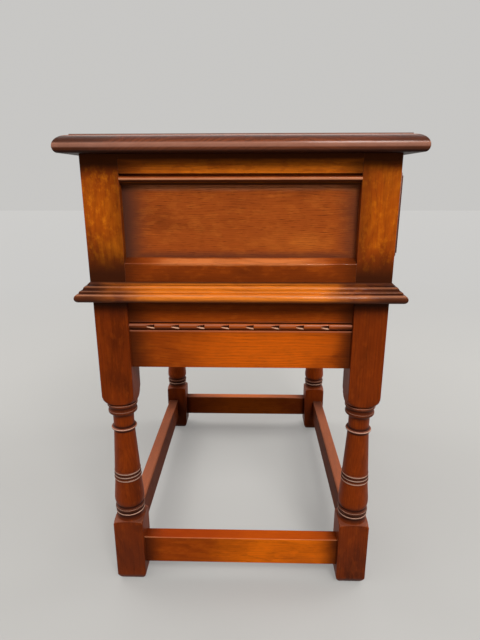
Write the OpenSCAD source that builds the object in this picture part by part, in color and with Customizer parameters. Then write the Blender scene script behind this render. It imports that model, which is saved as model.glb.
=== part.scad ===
// Lamp table: a panelled case with one drawer on a stand of four turned legs.
// The long front faces -Y, the short ends face -X and +X, and the floor is at Z = 0.

/* [Stand] */
// Length of the stand over the legs' outer faces
stand_length = 546; // [480:1:640]
// Depth of the stand over the legs' outer faces
stand_depth = 400; // [360:1:460]
// Height of the legs, from the floor to the waist moulding
leg_height = 471; // [440:1:540]
// Side of a leg's square stock
leg_side = 46; // [44:0.5:50]
// Height of a leg's foot block, up to where its shoulder starts
foot_block = 103; // [95:1:112]
// Length of a leg's upper square, down to where its shoulder starts
upper_square = 134; // [124:1:150]
// How far the bevel round a foot runs in
foot_bevel = 5.5; // [2:0.5:8]
// How far the bevel round a foot runs up
foot_bevel_rise = 11; // [6:0.5:16]

/* [Turning] */
// Radius of the vase at its belly
belly_r = 23; // [20:0.25:23]
// Radius of the neck above the vase
neck_r = 15.4; // [13:0.1:18]
// Radius of the two low rings above the foot block
low_ring_r = 23; // [21:0.25:23]
// Radius of the thin ring between vase and neck
astragal_r = 19; // [17.5:0.25:21]
// Radius of the collar under the square
collar_r = 22.4; // [20:0.1:22.8]
// Height of the vase's belly above the foot block's shoulder
belly_rise = 44; // [43.5:0.5:50]
// Half height of the belly's round
belly_round = 9; // [6:0.5:10]
// Height of the lowest reed above the foot block's shoulder
reed_rise = 80.5; // [70:0.5:120]
// Drop from the square's shoulder to the top of the vase
vase_drop = 71; // [66:0.5:76]
// How far the three reeds on the vase stand out
reed_proud = 0.3; // [0.1:0.1:1]
// Distance from one reed to the next
reed_pitch = 5.8; // [5:0.1:7]

/* [Aprons] */
// Height of the aprons
apron_height = 99; // [80:1:110]
// Thickness of the aprons
apron_thick = 22; // [18:0.5:24]
// Set-back of the aprons behind the legs' faces
apron_setback = 4.6; // [2:0.1:7]
// Height of the carved bead
bead_height = 9; // [7:0.5:12]
// Drop from the apron's top edge to the middle of the carved bead
bead_drop = 38.2; // [25:0.1:50]
// How far the carved bead stands proud of the apron
bead_proud = 1.2; // [0.4:0.1:2.5]
// Depth of the sunk band that the bead lies in
bead_band_depth = 2.4; // [1.5:0.1:4]
// Width of the sunk quirk above and below the bead
bead_quirk = 1.3; // [1:0.1:3]
// Distance from one carved nick to the next
nick_pitch = 34.5; // [28:0.5:50]
// Least plain length of bead at each end
nick_margin = 27; // [18:1:40]
// How far the row of nicks lies off the middle
nick_drift = 4; // [0:0.5:8]
// Length of a carved nick along the bead
nick_length = 11.6; // [6:0.1:16]
// Depth of a carved nick at its stop, below the bead's crown
nick_depth = 3.5; // [1.5:0.1:3.6]

/* [Stretchers] */
// Height of a stretcher
stretcher_height = 47; // [36:1:52]
// Thickness of a stretcher
stretcher_thick = 21.5; // [16:0.5:22]
// Clear height below the stretchers
stretcher_clear = 32; // [24:1:40]
// Set-back of the short stretchers behind the legs' faces
short_setback = 6.2; // [3:0.1:10]
// Set-back of the long stretchers behind the legs' faces
long_setback = 4.5; // [3:0.1:10]
// Slope-off of a stretcher's top edges
stretcher_ease = 1.2; // [0.5:0.1:2.5]

/* [Waist moulding] */
// Height of the waist moulding
waist_height = 25.5; // [25:0.5:30]
// Reach of the waist moulding's nose beyond the legs' faces
waist_reach = 19; // [16:0.5:24]
// How far the waist frame runs in from the legs' faces
waist_inset = 50; // [44:1:60]
// Radius of the nose
waist_nose_r = 6; // [5:0.25:6.5]
// Radius of the reed above the nose
waist_reed_r = 2; // [1.8:0.1:2.4]
// Height of the reed's middle
waist_reed_z = 13.2; // [12.8:0.1:13.6]
// Radius of the broad round above the reed
waist_round_r = 4.9; // [4.4:0.1:5.2]
// Height of the broad round's middle
waist_round_z = 16.4; // [16:0.1:17]
// Depth of the grooves between the rounds
waist_groove = 1.6; // [1.2:0.1:1.8]
// Reach of the sloping fillet's lower edge, above the broad round
waist_lip = 4.6; // [4:0.1:5]
// Height of the sloping fillet under the case
waist_fillet = 3.3; // [2.5:0.1:3.6]

/* [Case] */
// Height of the case
case_height = 162.5; // [150:0.5:190]
// How far the case stands proud of the legs' faces
case_proud = 1; // [0:0.5:3]
// Thickness of the case's stiles and rails
frame_thick = 22; // [18:0.5:24]
// Width of the stiles beside a panel
stile_width = 48; // [40:1:56]
// Height of the rail above a panel
panel_top_rail = 38; // [30:0.5:44]
// Height of the rail below a panel
panel_bottom_rail = 31.5; // [26:0.5:36]
// Fall of the sloping sill in front of a panel's lower edge
sill_fall = 7; // [2:0.5:9]
// How far a panel lies behind its frame's face
panel_recess = 12; // [6:0.5:12.5]
// Thickness of a panel
panel_thick = 8; // [6:0.5:8]
// Depth of the grooves that hold a panel and its rails
groove_depth = 7; // [5:0.5:10]
// Height of the sunk band behind the round bead
bead_seat_height = 14; // [12:0.5:18]
// Depth of the sunk band behind the round bead
bead_seat_depth = 6; // [4:0.5:8]
// Height of the round bead under an end's top rail
end_bead_height = 7.6; // [5:0.1:8]
// Height of the quirk above the round bead
end_bead_quirk = 2.4; // [1.5:0.1:3.5]
// Thickness of the case's floor
floor_thick = 6; // [4:0.5:9]

/* [Top] */
// Thickness of the top
top_thick = 22.5; // [20:0.5:28]
// Overhang of the top beyond the case
top_overhang = 24; // [12:0.5:40]
// Height of the nose's widest line above the underside
nose_height = 7.5; // [6:0.5:10]
// How far the nose's lower round runs in
nose_under = 5; // [3:0.5:9]
// How far the nose's upper round runs in
nose_run = 16.5; // [10:0.5:22]
// Height of the fillet step above the upper round
fillet_step = 1.25; // [1:0.25:3]

/* [Drawer] */
// Width of the front's stiles, between the ends and the drawer's opening
front_stile_width = 33; // [26:1:48]
// Height of the front's rail above the drawer
front_top_rail_height = 26.5; // [21:0.5:36]
// Height of the front's rail below the drawer
front_bottom_rail_height = 31.5; // [29:0.5:40]
// How far the drawer's front laps the frame all round
drawer_lip = 6; // [4:0.5:10]
// Thickness of the drawer's front outside the case
drawer_front_thick = 18; // [14:0.5:22]
// Thickness of the drawer's front inside the opening
drawer_inner_thick = 10; // [8:0.5:14]
// Run-in of the round along the drawer front's edges
drawer_edge_round = 6; // [3:0.5:9]
// Clear length behind the drawer's sides
drawer_rear_gap = 30; // [4:1:120]
// Thickness of the drawer's sides and back
drawer_side_thick = 10; // [8:0.5:12]
// Clear height above the drawer's sides
drawer_top_gap = 3.6; // [2:0.1:12]
// Height of the drawer's bottom above its sides' lower edge
drawer_bottom_rise = 7; // [5:0.5:10]
// Thickness of the drawer's bottom
drawer_bottom_thick = 4; // [3:0.5:6]
// Depth of the grooves that hold the drawer's bottom and back
drawer_groove = 4; // [3:0.5:5]
// How far the drawer's back stops short of the sides' top
drawer_back_drop = 12; // [4:1:20]
// Number of dovetails at each front corner
tail_count = 3; // [2:1:4]

/* [Runners] */
// How far a runner reaches under the drawer's side
runner_lap = 14; // [11:0.5:20]
// Height of the guide above a runner
guide_height = 26; // [15:1:40]
// Height of the kickers above the drawer
kicker_height = 25.5; // [18:0.5:27]

/* [Handles] */
// Distance between the two handles
handle_spacing = 230; // [160:1:280]
// Radius of a handle's back plate
plate_r = 18; // [14:0.5:22]
// Thickness of a handle's back plate
plate_thick = 2.5; // [2:0.25:3]
// Distance from the drawer's face to the hinge pin
pin_out = 12; // [11.5:0.25:15]
// Radius of the hinge pin
pin_r = 1.5; // [1.2:0.1:1.8]
// Radius of the post's shank
shank_r = 3; // [2.5:0.1:3.5]
// Width of the fork that holds the pin
fork_width = 9.6; // [9:0.1:12]
// Thickness of the drop's eye
eye_thick = 3.2; // [2.5:0.1:3.6]
// Radius of the drop's eye
eye_r = 3.3; // [2.8:0.1:3.4]
// Radius of the drop at its fullest
drop_r = 7.5; // [5:0.25:7.75]
// Length of the drop below the pin
drop_length = 33; // [26:0.5:44]

/* [Screws and fits] */
// Radius of the wood screws
screw_r = 2; // [1.5:0.1:2.4]
// Radius of the wood screws' heads
screw_head_r = 4; // [3.2:0.1:4.4]
// How far a screw bites into the piece it holds
screw_bite = 13; // [9:0.5:15]
// Side of the cleats inside the long aprons
cleat_side = 20; // [16:0.5:22]
// Thickness of the tenons
tenon_thick = 8; // [6:0.5:10]
// Length of the tenons
tenon_length = 18; // [12:0.5:20]
// Height of an apron above its tenons
apron_shoulder_top = 14; // [8:0.5:20]
// Height of an apron below its tenons
apron_shoulder = 8; // [4:0.5:14]
// Height of a stretcher above and below its tenons
stretcher_shoulder = 5; // [3:0.5:10]
// Play in glued joints
joint_gap = 0.1; // [0.05:0.05:0.25]
// Play under the drawer
drawer_gap = 0.4; // [0.3:0.1:1]
// Play beside the drawer, on each side
drawer_play = 1; // [0.5:0.1:2]
// Running play of the drop on its pin
pin_play = 0.05; // [0.02:0.01:0.1]

/* [Hidden] */
$fn = 96;

oak = "#8a3f12";
oak_dark = "#5a2413";
oak_inside = "#b08350";
brass = "#a5864a";
steel = "#8d8f92";

// The four sides are numbered 0 front, 1 right, 2 back and 3 left. Each is drawn as the front
// is, with its outer face towards -Y, and then turned to its place.
front = 0;
right = 1;
back = 2;
left = 3;

// Heights
z_waist = leg_height;
z_case = z_waist + waist_height;
z_top = z_case + case_height;
z_opening = z_case + front_bottom_rail_height;
z_drawer = z_opening + drawer_gap;
opening_height = case_height - front_bottom_rail_height - front_top_rail_height;
z_handle = z_opening + opening_height / 2;
drawer_side_height = opening_height - drawer_gap - drawer_top_gap;

// Half sizes over the case, and the planes of the drawer's front
case_half_x = stand_length / 2 + case_proud;
case_half_y = stand_depth / 2 + case_proud;
front_back_y = -case_half_y - drawer_gap;
front_face_y = front_back_y - drawer_front_thick;
pin_y = front_face_y - pin_out;
opening_width = 2 * (case_half_x - frame_thick - front_stile_width);
drawer_half = opening_width / 2 - drawer_play;
drawer_end_y = case_half_y - frame_thick - drawer_rear_gap;
inner_back_y = front_back_y + drawer_inner_thick;

// The drops reach further forward than the top does, so the whole table is set back by half of
// the difference, which puts the origin under the middle of its box.
front_reach = max(drop_r - pin_y, case_half_y + top_overhang);
shift_y = (front_reach - case_half_y - top_overhang) / 2;

// Plain small values that several pieces share
slack = 1;
over = 60;
fork_r = 4;
pin_proud = 0.4;
belly_turn = 65;
drop_turn = 60;
nut_r = 6;
nut_thick = 4;
stub = groove_depth - joint_gap;
groove_width = panel_thick + 2 * joint_gap;
guide_play = drawer_play;
runner_top = z_opening;
hole_r = screw_r + joint_gap;
top_screw_at = [for (y = [-1, 0, 1]) y * stand_depth * 0.3];
stand_screw_at = [for (x = [-1.5, -0.5, 0.5, 1.5]) x * (stand_length - 2 * leg_side) * 0.25];

function reach(side) = (side % 2 == 0 ? stand_depth : stand_length) / 2;
function half_span(side) = (side % 2 == 0 ? stand_length : stand_depth) / 2;

// Half the length of a side's frame: the ends run the full depth, front and back fit between them
function frame_half(side) = half_span(side) + case_proud - (side % 2 == 0 ? frame_thick : 0);

// Points along part of an ellipse
function arc(cx, cy, rx, ry, from, to, steps = 10) =
  [for (i = [0:steps]) let (a = from + (to - from) * i / steps) [cx + rx * cos(a), cy + ry * sin(a)]];

// Points of a turned ring that swells from one radius to another
function ring(foot_r, ring_r, z, height) = arc(foot_r, z, ring_r - foot_r, height / 2, -90, 90, 10);

module placed() translate([0, shift_y, 0]) children();

module on_side(side) placed() rotate([0, 0, 90 * side]) children();

// A block between two corners
module block(low, high) translate(low) cube(high - low);

// A screw that points up from its head
module screw(length) {
  cylinder(r1 = screw_head_r, r2 = screw_r, h = screw_head_r - screw_r);
  cylinder(r = screw_r, h = length);
}

module screw_hole(length) {
  translate([0, 0, -slack]) cylinder(r = screw_head_r + joint_gap, h = slack);
  cylinder(r1 = screw_head_r + joint_gap, r2 = hole_r, h = screw_head_r - screw_r);
  cylinder(r = hole_r, h = length + joint_gap);
}

// Top

// Section of the top across one direction
module top_section(half) {
  rise = top_thick - fillet_step - nose_height;
  edge = concat(
    arc(half - nose_under, nose_height, nose_under, nose_height, -90, 0, 8),
    arc(half - nose_run, nose_height, nose_run, rise, 6, 90, 14),
    [[half - nose_run, top_thick]]);
  polygon(concat(edge, [for (i = [len(edge) - 1:-1:0]) [-edge[i][0], edge[i][1]]]));
}

module top_board() color(oak_dark) placed() difference() {
  half_x = case_half_x + top_overhang;
  half_y = case_half_y + top_overhang;
  translate([0, 0, z_top]) intersection() {
    translate([0, half_y, 0]) rotate([90, 0, 0]) linear_extrude(2 * half_y) top_section(half_x);
    rotate([90, 0, 90]) translate([0, 0, -half_x]) linear_extrude(2 * half_x) top_section(half_y);
  }
  each_top_screw() cylinder(r = hole_r, h = kicker_height + screw_bite + joint_gap);
}

// The top is screwed on from inside the case, through the kickers
kicker_in = case_half_x - frame_thick - (drawer_half - runner_lap);
module each_top_screw() for (x = [-1, 1], y = top_screw_at)
  translate([x * (drawer_half - runner_lap + kicker_in / 2), y, z_top - kicker_height]) children();

module top_screws() color(steel) placed() each_top_screw() screw(kicker_height + screw_bite);

// Case

module stile_blank(side, at) {
  outer = at * frame_half(side);
  inner = at * (frame_half(side) - stile_width);
  face = -reach(side) - case_proud;
  block([min(outer, inner), face, z_case], [max(outer, inner), face + frame_thick, z_top]);
}

// Groove for the panel and the rails' stubs, cut into a stile or a rail
module groove(side, low, high) {
  y = -reach(side) - case_proud + panel_recess - joint_gap;
  block([low[0], y, low[1]], [high[0], y + groove_width, high[1]]);
}

module stile(side, at) color(oak) on_side(side) difference() {
  inner = frame_half(side) - stile_width;
  stile_blank(side, at);
  if (at > 0) groove(side, [inner - slack, z_case - slack], [inner + groove_depth, z_top + slack]);
  else groove(side, [-inner - groove_depth, z_case - slack], [slack - inner, z_top + slack]);
}

// A rail with its stubs, which fill the stiles' grooves
module rail_blank(side, low, high) {
  half = frame_half(side) - stile_width;
  face = -reach(side) - case_proud;
  stub_y = face + panel_recess;
  block([-half, face, low], [half, face + frame_thick, high]);
  block([-half - stub, stub_y, low], [half + stub, stub_y + panel_thick, high]);
}

module top_rail(side) color(oak) on_side(side) difference() {
  half = frame_half(side) - stile_width;
  low = z_top - panel_top_rail;
  rail_blank(side, low, z_top);
  groove(side, [-half - over, low - slack], [half + over, low + groove_depth]);
  if (side != back) bead_seat(side);
}

// The sunk band along the lower edge of an end's top rail
module bead_seat(side) {
  half = frame_half(side);
  low = z_top - panel_top_rail;
  face = -reach(side) - case_proud;
  block([-half, face - slack, low - slack], [half, face + bead_seat_depth, low + bead_seat_height]);
}

module bottom_rail(side) color(oak) on_side(side) difference() {
  half = frame_half(side) - stile_width;
  high = z_case + panel_bottom_rail;
  rail_blank(side, z_case, high);
  groove(side, [-half - over, high - groove_depth], [half + over, high + slack]);
  frame_screw_holes(side);
  sill_slope(side, high);
}

// The wedge that comes off a bottom rail's top, from the panel down to the rail's face
module sill_slope(side, high) {
  half = frame_half(side) - stile_width;
  beyond = slack * sill_fall / panel_recess;
  translate([-half, -reach(side) - case_proud, high]) rotate([90, 0, 90]) linear_extrude(2 * half)
    polygon([[-slack, -sill_fall - beyond], [panel_recess, 0], [panel_recess, slack], [-slack, slack]]);
}

module panel(side) color(oak) on_side(side) {
  half = frame_half(side) - stile_width + stub;
  y = -reach(side) - case_proud + panel_recess;
  low = z_case + panel_bottom_rail - stub;
  high = z_top - panel_top_rail + stub;
  block([-half, y, low], [half, y + panel_thick, high]);
}

// The round bead in its sunk band
module end_bead(side) color(oak) on_side(side) {
  half = frame_half(side) - stile_width - joint_gap;
  z = z_top - panel_top_rail + bead_seat_height - end_bead_quirk - end_bead_height / 2;
  seat = -reach(side) - case_proud + bead_seat_depth;
  round_r = end_bead_height / 2;
  crown = bead_seat_depth + case_proud;
  section = concat([[0, -round_r]],
    arc(crown - round_r, 0, round_r, round_r, -90, 90, 16), [[0, round_r]]);
  translate([-half, seat, z]) rotate([90, 0, 90]) linear_extrude(2 * half) mirror([1, 0]) polygon(section);
}

// Front frame

module front_stile(at) color(oak) placed() difference() {
  x = [opening_width / 2, opening_width / 2 + front_stile_width];
  low = at > 0 ? x[0] : -x[1];
  high = at > 0 ? x[1] : -x[0];
  stub_y = -case_half_y + panel_recess - joint_gap;
  stub_in = at > 0 ? [low - slack, low + groove_depth] : [high - groove_depth, high + slack];
  block([low, -case_half_y, z_case], [high, frame_thick - case_half_y, z_top]);
  block([stub_in[0], stub_y, z_case - slack],
    [stub_in[1], stub_y + groove_width, z_case + front_bottom_rail_height + joint_gap]);
  block([stub_in[0], stub_y, z_top - front_top_rail_height - joint_gap],
    [stub_in[1], stub_y + groove_width, z_top + slack]);
}

module front_rail(low, high) {
  half = opening_width / 2;
  stub_y = panel_recess - case_half_y;
  block([-half, -case_half_y, low], [half, frame_thick - case_half_y, high]);
  block([-half - stub, stub_y, low], [half + stub, stub_y + panel_thick, high]);
}

module front_top_rail() color(oak) placed() front_rail(z_top - front_top_rail_height, z_top);

module front_bottom_rail() color(oak) on_side(front) difference() {
  front_rail(z_case, z_case + front_bottom_rail_height);
  frame_screw_holes(front);
}

module case_floor() color(oak_inside) placed() {
  x = case_half_x - frame_thick - joint_gap;
  y = case_half_y - frame_thick - joint_gap;
  block([-x, -y, z_case], [x, y, z_case + floor_thick]);
}

// Screws up through the waist frame into the case's rails, two to a side
module each_case_screw(side) for (at = [-1, 1])
  translate([at * half_span(side) * 0.45, frame_thick / 2 - reach(side) - case_proud, z_waist])
    children();

module frame_screw_holes(side) each_case_screw(side)
  cylinder(r = hole_r, h = waist_height + screw_bite + joint_gap);

module case_screws() color(steel) for (side = [front:left]) on_side(side)
  each_case_screw(side) screw(waist_height + screw_bite);

// Inside the case

// L-shaped runner: a ledge under the drawer's side, and a guide beside it
module drawer_runner(at) color(oak_inside) placed() {
  outer = case_half_x - frame_thick - joint_gap;
  ledge = drawer_half - runner_lap;
  guide = drawer_half + guide_play;
  half_y = case_half_y - frame_thick - joint_gap;
  floor_top = z_case + floor_thick;
  mirror([at > 0 ? 0 : 1, 0, 0]) rotate([90, 0, 0]) translate([0, 0, -half_y]) linear_extrude(2 * half_y)
    polygon([[ledge, floor_top], [outer, floor_top], [outer, runner_top + guide_height],
      [guide, runner_top + guide_height], [guide, runner_top], [ledge, runner_top]]);
}

module drawer_kickers() color(oak_inside) placed() difference() {
  half_y = case_half_y - frame_thick - joint_gap;
  for (at = [0, 1]) mirror([at, 0, 0])
    block([drawer_half - runner_lap, -half_y, z_top - kicker_height],
      [case_half_x - frame_thick - joint_gap, half_y, z_top]);
  each_top_screw() screw_hole(kicker_height + slack);
}

// Drawer

// Section of the drawer's front across one direction, thickness along +Y
module drawer_front_section(half) {
  step = 1.5;
  edge = concat([[half, 0]],
    arc(half - drawer_edge_round, drawer_front_thick - step - drawer_edge_round,
      drawer_edge_round, drawer_edge_round, 0, 90, 8),
    [[half - drawer_edge_round, drawer_front_thick]]);
  polygon(concat(edge, [for (i = [len(edge) - 1:-1:0]) [-edge[i][0], edge[i][1]]]));
}

// Dovetails that run forward from the drawer side's end, grown by play where they are cut out
module tails(play) {
  pitch = drawer_side_height / tail_count;
  wide = pitch * 0.32;
  narrow = pitch * 0.2;
  for (i = [0:tail_count - 1]) let (z = z_drawer + pitch * (i + 0.5))
    polygon([[inner_back_y + slack, z - narrow - play], [front_back_y - play, z - wide - play],
      [front_back_y - play, z + wide + play], [inner_back_y + slack, z + narrow + play]]);
}

module drawer_front() color(oak) placed() {
  half_x = opening_width / 2 + drawer_lip;
  half_z = opening_height / 2 + drawer_lip;
  inner_z = [z_drawer, z_drawer + drawer_side_height];
  difference() {
    union() {
      translate([0, front_back_y, z_handle]) intersection() {
        translate([0, 0, -half_z]) linear_extrude(2 * half_z) mirror([0, 1]) drawer_front_section(half_x);
        translate([-half_x, 0, 0]) rotate([0, 90, 0]) linear_extrude(2 * half_x)
          mirror([0, 1]) drawer_front_section(half_z);
      }
      block([-drawer_half, front_back_y - slack, inner_z[0]], [drawer_half, inner_back_y, inner_z[1]]);
    }
    for (at = [0, 1]) mirror([at, 0, 0]) {
      translate([drawer_half - drawer_side_thick - joint_gap, 0, 0]) rotate([90, 0, 90])
        linear_extrude(drawer_side_thick + slack) tails(joint_gap);
    }
    block([-drawer_half + drawer_side_thick - drawer_groove, inner_back_y - drawer_groove, groove_low],
      [drawer_half - drawer_side_thick + drawer_groove, inner_back_y + slack, groove_high]);
    each_handle() rotate([-90, 0, 0]) cylinder(r = shank_r + joint_gap, h = over);
  }
}

groove_low = z_drawer + drawer_bottom_rise - joint_gap;
groove_high = z_drawer + drawer_bottom_rise + drawer_bottom_thick + joint_gap;
back_y = drawer_end_y - 2 * drawer_side_thick;

module drawer_side(at) color(oak_inside) placed() mirror([at > 0 ? 0 : 1, 0, 0]) difference() {
  inner = drawer_half - drawer_side_thick;
  translate([inner, 0, 0]) rotate([90, 0, 90]) linear_extrude(drawer_side_thick) union() {
    translate([inner_back_y + joint_gap, z_drawer])
      square([drawer_end_y - inner_back_y - joint_gap, drawer_side_height]);
    tails(0);
  }
  block([inner - slack, front_back_y - slack, groove_low],
    [inner + drawer_groove, over + drawer_end_y, groove_high]);
  block([inner - slack, back_y - joint_gap, groove_high],
    [inner + drawer_groove, back_y + drawer_side_thick + joint_gap, over + z_drawer + drawer_side_height]);
}

module drawer_back() color(oak_inside) placed() {
  half = drawer_half - drawer_side_thick + drawer_groove - joint_gap;
  block([-half, back_y, groove_high],
    [half, back_y + drawer_side_thick, z_drawer + drawer_side_height - drawer_back_drop]);
}

module drawer_bottom() color(oak_inside) placed() {
  half = drawer_half - drawer_side_thick + drawer_groove - joint_gap;
  z = z_drawer + drawer_bottom_rise;
  block([-half, inner_back_y - drawer_groove + joint_gap, z],
    [half, back_y + drawer_side_thick, z + drawer_bottom_thick]);
}

// Handles

module each_handle() for (at = [-1, 1])
  translate([at * handle_spacing / 2, front_face_y, z_handle]) children();

// Turned back plate with a raised rim and a domed middle
module handle_plates() color(brass) placed() each_handle() rotate([90, 0, 0]) rotate_extrude()
  polygon(concat([[shank_r + joint_gap, 0], [plate_r, 0], [plate_r, plate_thick * 0.4]],
    arc(plate_r - 1.5, plate_thick * 0.6, 1.2, plate_thick * 0.4, 0, 180, 8),
    [[plate_r - 4, plate_thick * 0.45], [plate_r - 7, plate_thick * 0.6]],
    arc(shank_r + 3, plate_thick * 0.7, plate_r - 11 - shank_r, plate_thick * 0.3, 0, 90, 6),
    [[shank_r + joint_gap, plate_thick]]));

// Post: a shank through the drawer's front, a shoulder on the plate and a fork for the pin
module handle_posts() color(brass) placed() each_handle() difference() {
  tail = drawer_front_thick + drawer_inner_thick + nut_thick + 2;
  union() {
    rotate([-90, 0, 0]) cylinder(r = shank_r, h = tail);
    rotate([90, 0, 0]) cylinder(r = shank_r, h = plate_thick);
    translate([0, -plate_thick, 0]) rotate([90, 0, 0])
      cylinder(r = shank_r + 1.5, h = pin_out - plate_thick - fork_r - 0.5);
    translate([-fork_width / 2, -pin_out, 0]) rotate([0, 90, 0]) cylinder(r = fork_r, h = fork_width);
    block([-fork_width / 2, -pin_out, -fork_r], [fork_width / 2, -pin_out + fork_r + 0.5, fork_r]);
  }
  slot = eye_thick / 2 + 0.3;
  block([-slot, -pin_out - over, -over], [slot, -pin_out + eye_r + 0.4, over]);
  translate([-over, -pin_out, 0]) rotate([0, 90, 0]) cylinder(r = pin_r + pin_play, h = 2 * over);
}

module handle_pins() color(brass) placed() each_handle()
  translate([-fork_width / 2 - pin_proud, -pin_out, 0]) rotate([0, 90, 0])
    cylinder(r = pin_r, h = fork_width + 2 * pin_proud);

module handle_nuts() color(steel) placed() each_handle()
  translate([0, drawer_front_thick + drawer_inner_thick, 0]) rotate([-90, 0, 0]) difference() {
    cylinder(r = nut_r, h = nut_thick, $fn = 6);
    translate([0, 0, -slack]) cylinder(r = shank_r + joint_gap, h = nut_thick + 2 * slack);
  }

// Pear-shaped drop that hangs from the pin
module handle_drop(at) color(brass) placed()
  translate([at * handle_spacing / 2, pin_y, z_handle]) difference() {
    full_z = -drop_length * 0.72;
    union() {
      translate([-eye_thick / 2, 0, 0]) rotate([0, 90, 0]) cylinder(r = eye_r, h = eye_thick);
      rotate_extrude() polygon(concat([[0, -drop_length]],
        arc(0, -drop_length + 1.6, 2, 1.6, -drop_turn, drop_turn, 6),
        arc(0, full_z, drop_r, drop_length * 0.2, -drop_turn, drop_turn / 2, 10),
        [[drop_r * 0.55, full_z + drop_length * 0.24], [drop_r * 0.3, full_z + drop_length * 0.36],
          [1.5, -drop_length * 0.26]],
        ring(1.5, 2.6, -drop_length * 0.22, 2.2),
        [[1.3, -drop_length * 0.17], [1.3, -eye_r * 0.7], [0, -eye_r * 0.7]]));
    }
    translate([-over, 0, 0]) rotate([0, 90, 0]) cylinder(r = pin_r + pin_play, h = 2 * over);
  }

// Waist moulding

// Section with u outwards from the legs' face and z up from the legs' top. All its rounds touch
// one line at 45 degrees, on which u + z is the same.
module waist_section() {
  nose_u = waist_reach - waist_nose_r;
  slope = waist_reach + waist_nose_r * sqrt(2);
  core = slope - waist_groove * sqrt(2);
  low = waist_nose_r * 1.75;
  high = waist_height - waist_fillet;
  polygon([[-waist_inset, 0], [nose_u, 0], [nose_u + 1, waist_nose_r + 1], [core - low, low],
    [core - high, high], [waist_lip, high], [case_proud, waist_height], [-waist_inset, waist_height]]);
  translate([nose_u, waist_nose_r]) circle(r = waist_nose_r);
  for (part = [[waist_reed_r, waist_reed_z], [waist_round_r, waist_round_z]])
    translate([slope - part[0] * sqrt(2) - part[1], part[1]]) circle(r = part[0]);
}

module waist(side) color(oak) on_side(side) difference() {
  half = half_span(side);
  far = waist_reach + slack;
  intersection() {
    translate([-half - over, -reach(side), z_waist]) rotate([90, 0, 90])
      linear_extrude(2 * (half + over)) mirror([1, 0]) waist_section();
    translate([0, -reach(side), z_waist - slack]) linear_extrude(waist_height + 2 * slack)
      polygon([[-half - far, -far], [half + far, -far], [half - waist_inset, waist_inset],
        [waist_inset - half, waist_inset]]);
  }
  each_case_screw(side) screw_hole(waist_height + slack);
  if (side % 2 == 0) each_stand_screw(side) cylinder(r = hole_r, h = cleat_side + screw_bite + joint_gap);
}

// Legs

// Turned outline from the foot block's shoulder to the upper square's shoulder
function leg_outline() = let (low = foot_block, high = leg_height - upper_square,
    vase_top = high - vase_drop, belly_z = low + belly_rise, reed_z = low + reed_rise)
  concat([[0, low - 5], [22.2, low - 5], [22.2, low + 8.8], [21.2, low + 10.2], [20.3, low + 12.6],
      [19.8, low + 15.4], [19.8, low + 17]],
    ring(low_ring_r - 3.2, low_ring_r - 0.6, low + 20.2, 5.4),
    ring(low_ring_r - 2.6, low_ring_r - 0.2, low + 27.2, 6.8),
    [[low_ring_r - 2.9, low + 33.2], [belly_r - 2, low + 34.6]],
    arc(belly_r - 2, belly_z, 2, belly_round, -belly_turn,
      atan((belly_r - neck_r) * belly_round / (vase_top - belly_z) / 2), 8),
    [for (i = [0:2], p = ring(vase_r(reed_z + i * reed_pitch, belly_z, vase_top) - 0.7,
      vase_r(reed_z + i * reed_pitch, belly_z, vase_top) + reed_proud,
      reed_z + i * reed_pitch, 3.6)) p],
    [[vase_r(reed_z + 3 * reed_pitch, belly_z, vase_top), reed_z + 2.6 * reed_pitch],
      [neck_r + 0.2, vase_top], [neck_r + 0.6, vase_top + 0.8]],
    ring(neck_r + 0.6, astragal_r, vase_top + 3.4, 4.4),
    [[neck_r + 0.6, vase_top + 6], [neck_r, vase_top + 9], [neck_r, high - 48.5],
      [neck_r + 0.4, high - 46], [neck_r + 1.6, high - 43.4], [collar_r - 3, high - 42.4]],
    ring(collar_r - 2.2, collar_r - 1, high - 39, 6),
    [[collar_r - 2.4, high - 33.4]],
    ring(collar_r - 2.2, collar_r, high - 28.4, 6),
    [[collar_r - 2.2, high - 24.6], [collar_r - 2, high - 20], [collar_r - 2, high + 5], [0, high + 5]]);

// Radius of the vase at a height, on the straight run above its belly
function vase_r(z, belly_z, vase_top) = belly_r - (belly_r - neck_r) * (z - belly_z) / (vase_top - belly_z);

module leg_blocks() {
  corner_r = leg_side * 0.72;
  foot_rise = 9;
  square_drop = 24;
  core = 21;
  high = leg_height - upper_square;
  half = leg_side / 2;
  intersection() {
    block([-half, -half, 0], [half, half, foot_block + foot_rise]);
    rotate_extrude() polygon(concat([[0, 0], [corner_r, 0]],
      arc(core, foot_block, corner_r - core, foot_rise, 0, 90, 10), [[0, foot_block + foot_rise]]));
  }
  intersection() {
    block([-half, -half, high - square_drop], [half, half, leg_height]);
    rotate_extrude() polygon(concat([[0, high - square_drop]],
      arc(core, high, corner_r - core, square_drop, -90, 0, 12),
      [[corner_r, leg_height], [0, leg_height]]));
  }
}

// Mortise that runs into a leg from its inner face, along the given side
module mortise(side, low, high, setback, thick) {
  y = -reach(side) + setback + thick / 2;
  inner = half_span(side) - leg_side;
  for (at = [0, 1]) mirror([at, 0, 0])
    block([inner - slack, y - tenon_thick / 2 - joint_gap, low - joint_gap],
      [inner + tenon_length + joint_gap, y + tenon_thick / 2 + joint_gap, high + joint_gap]);
}

apron_tenon = [leg_height - apron_height + apron_shoulder, leg_height - apron_shoulder_top];
stretcher_tenon = [stretcher_clear + stretcher_shoulder,
  stretcher_clear + stretcher_height - stretcher_shoulder];
function stretcher_setback(side) = side % 2 == 0 ? long_setback : short_setback;

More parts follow.
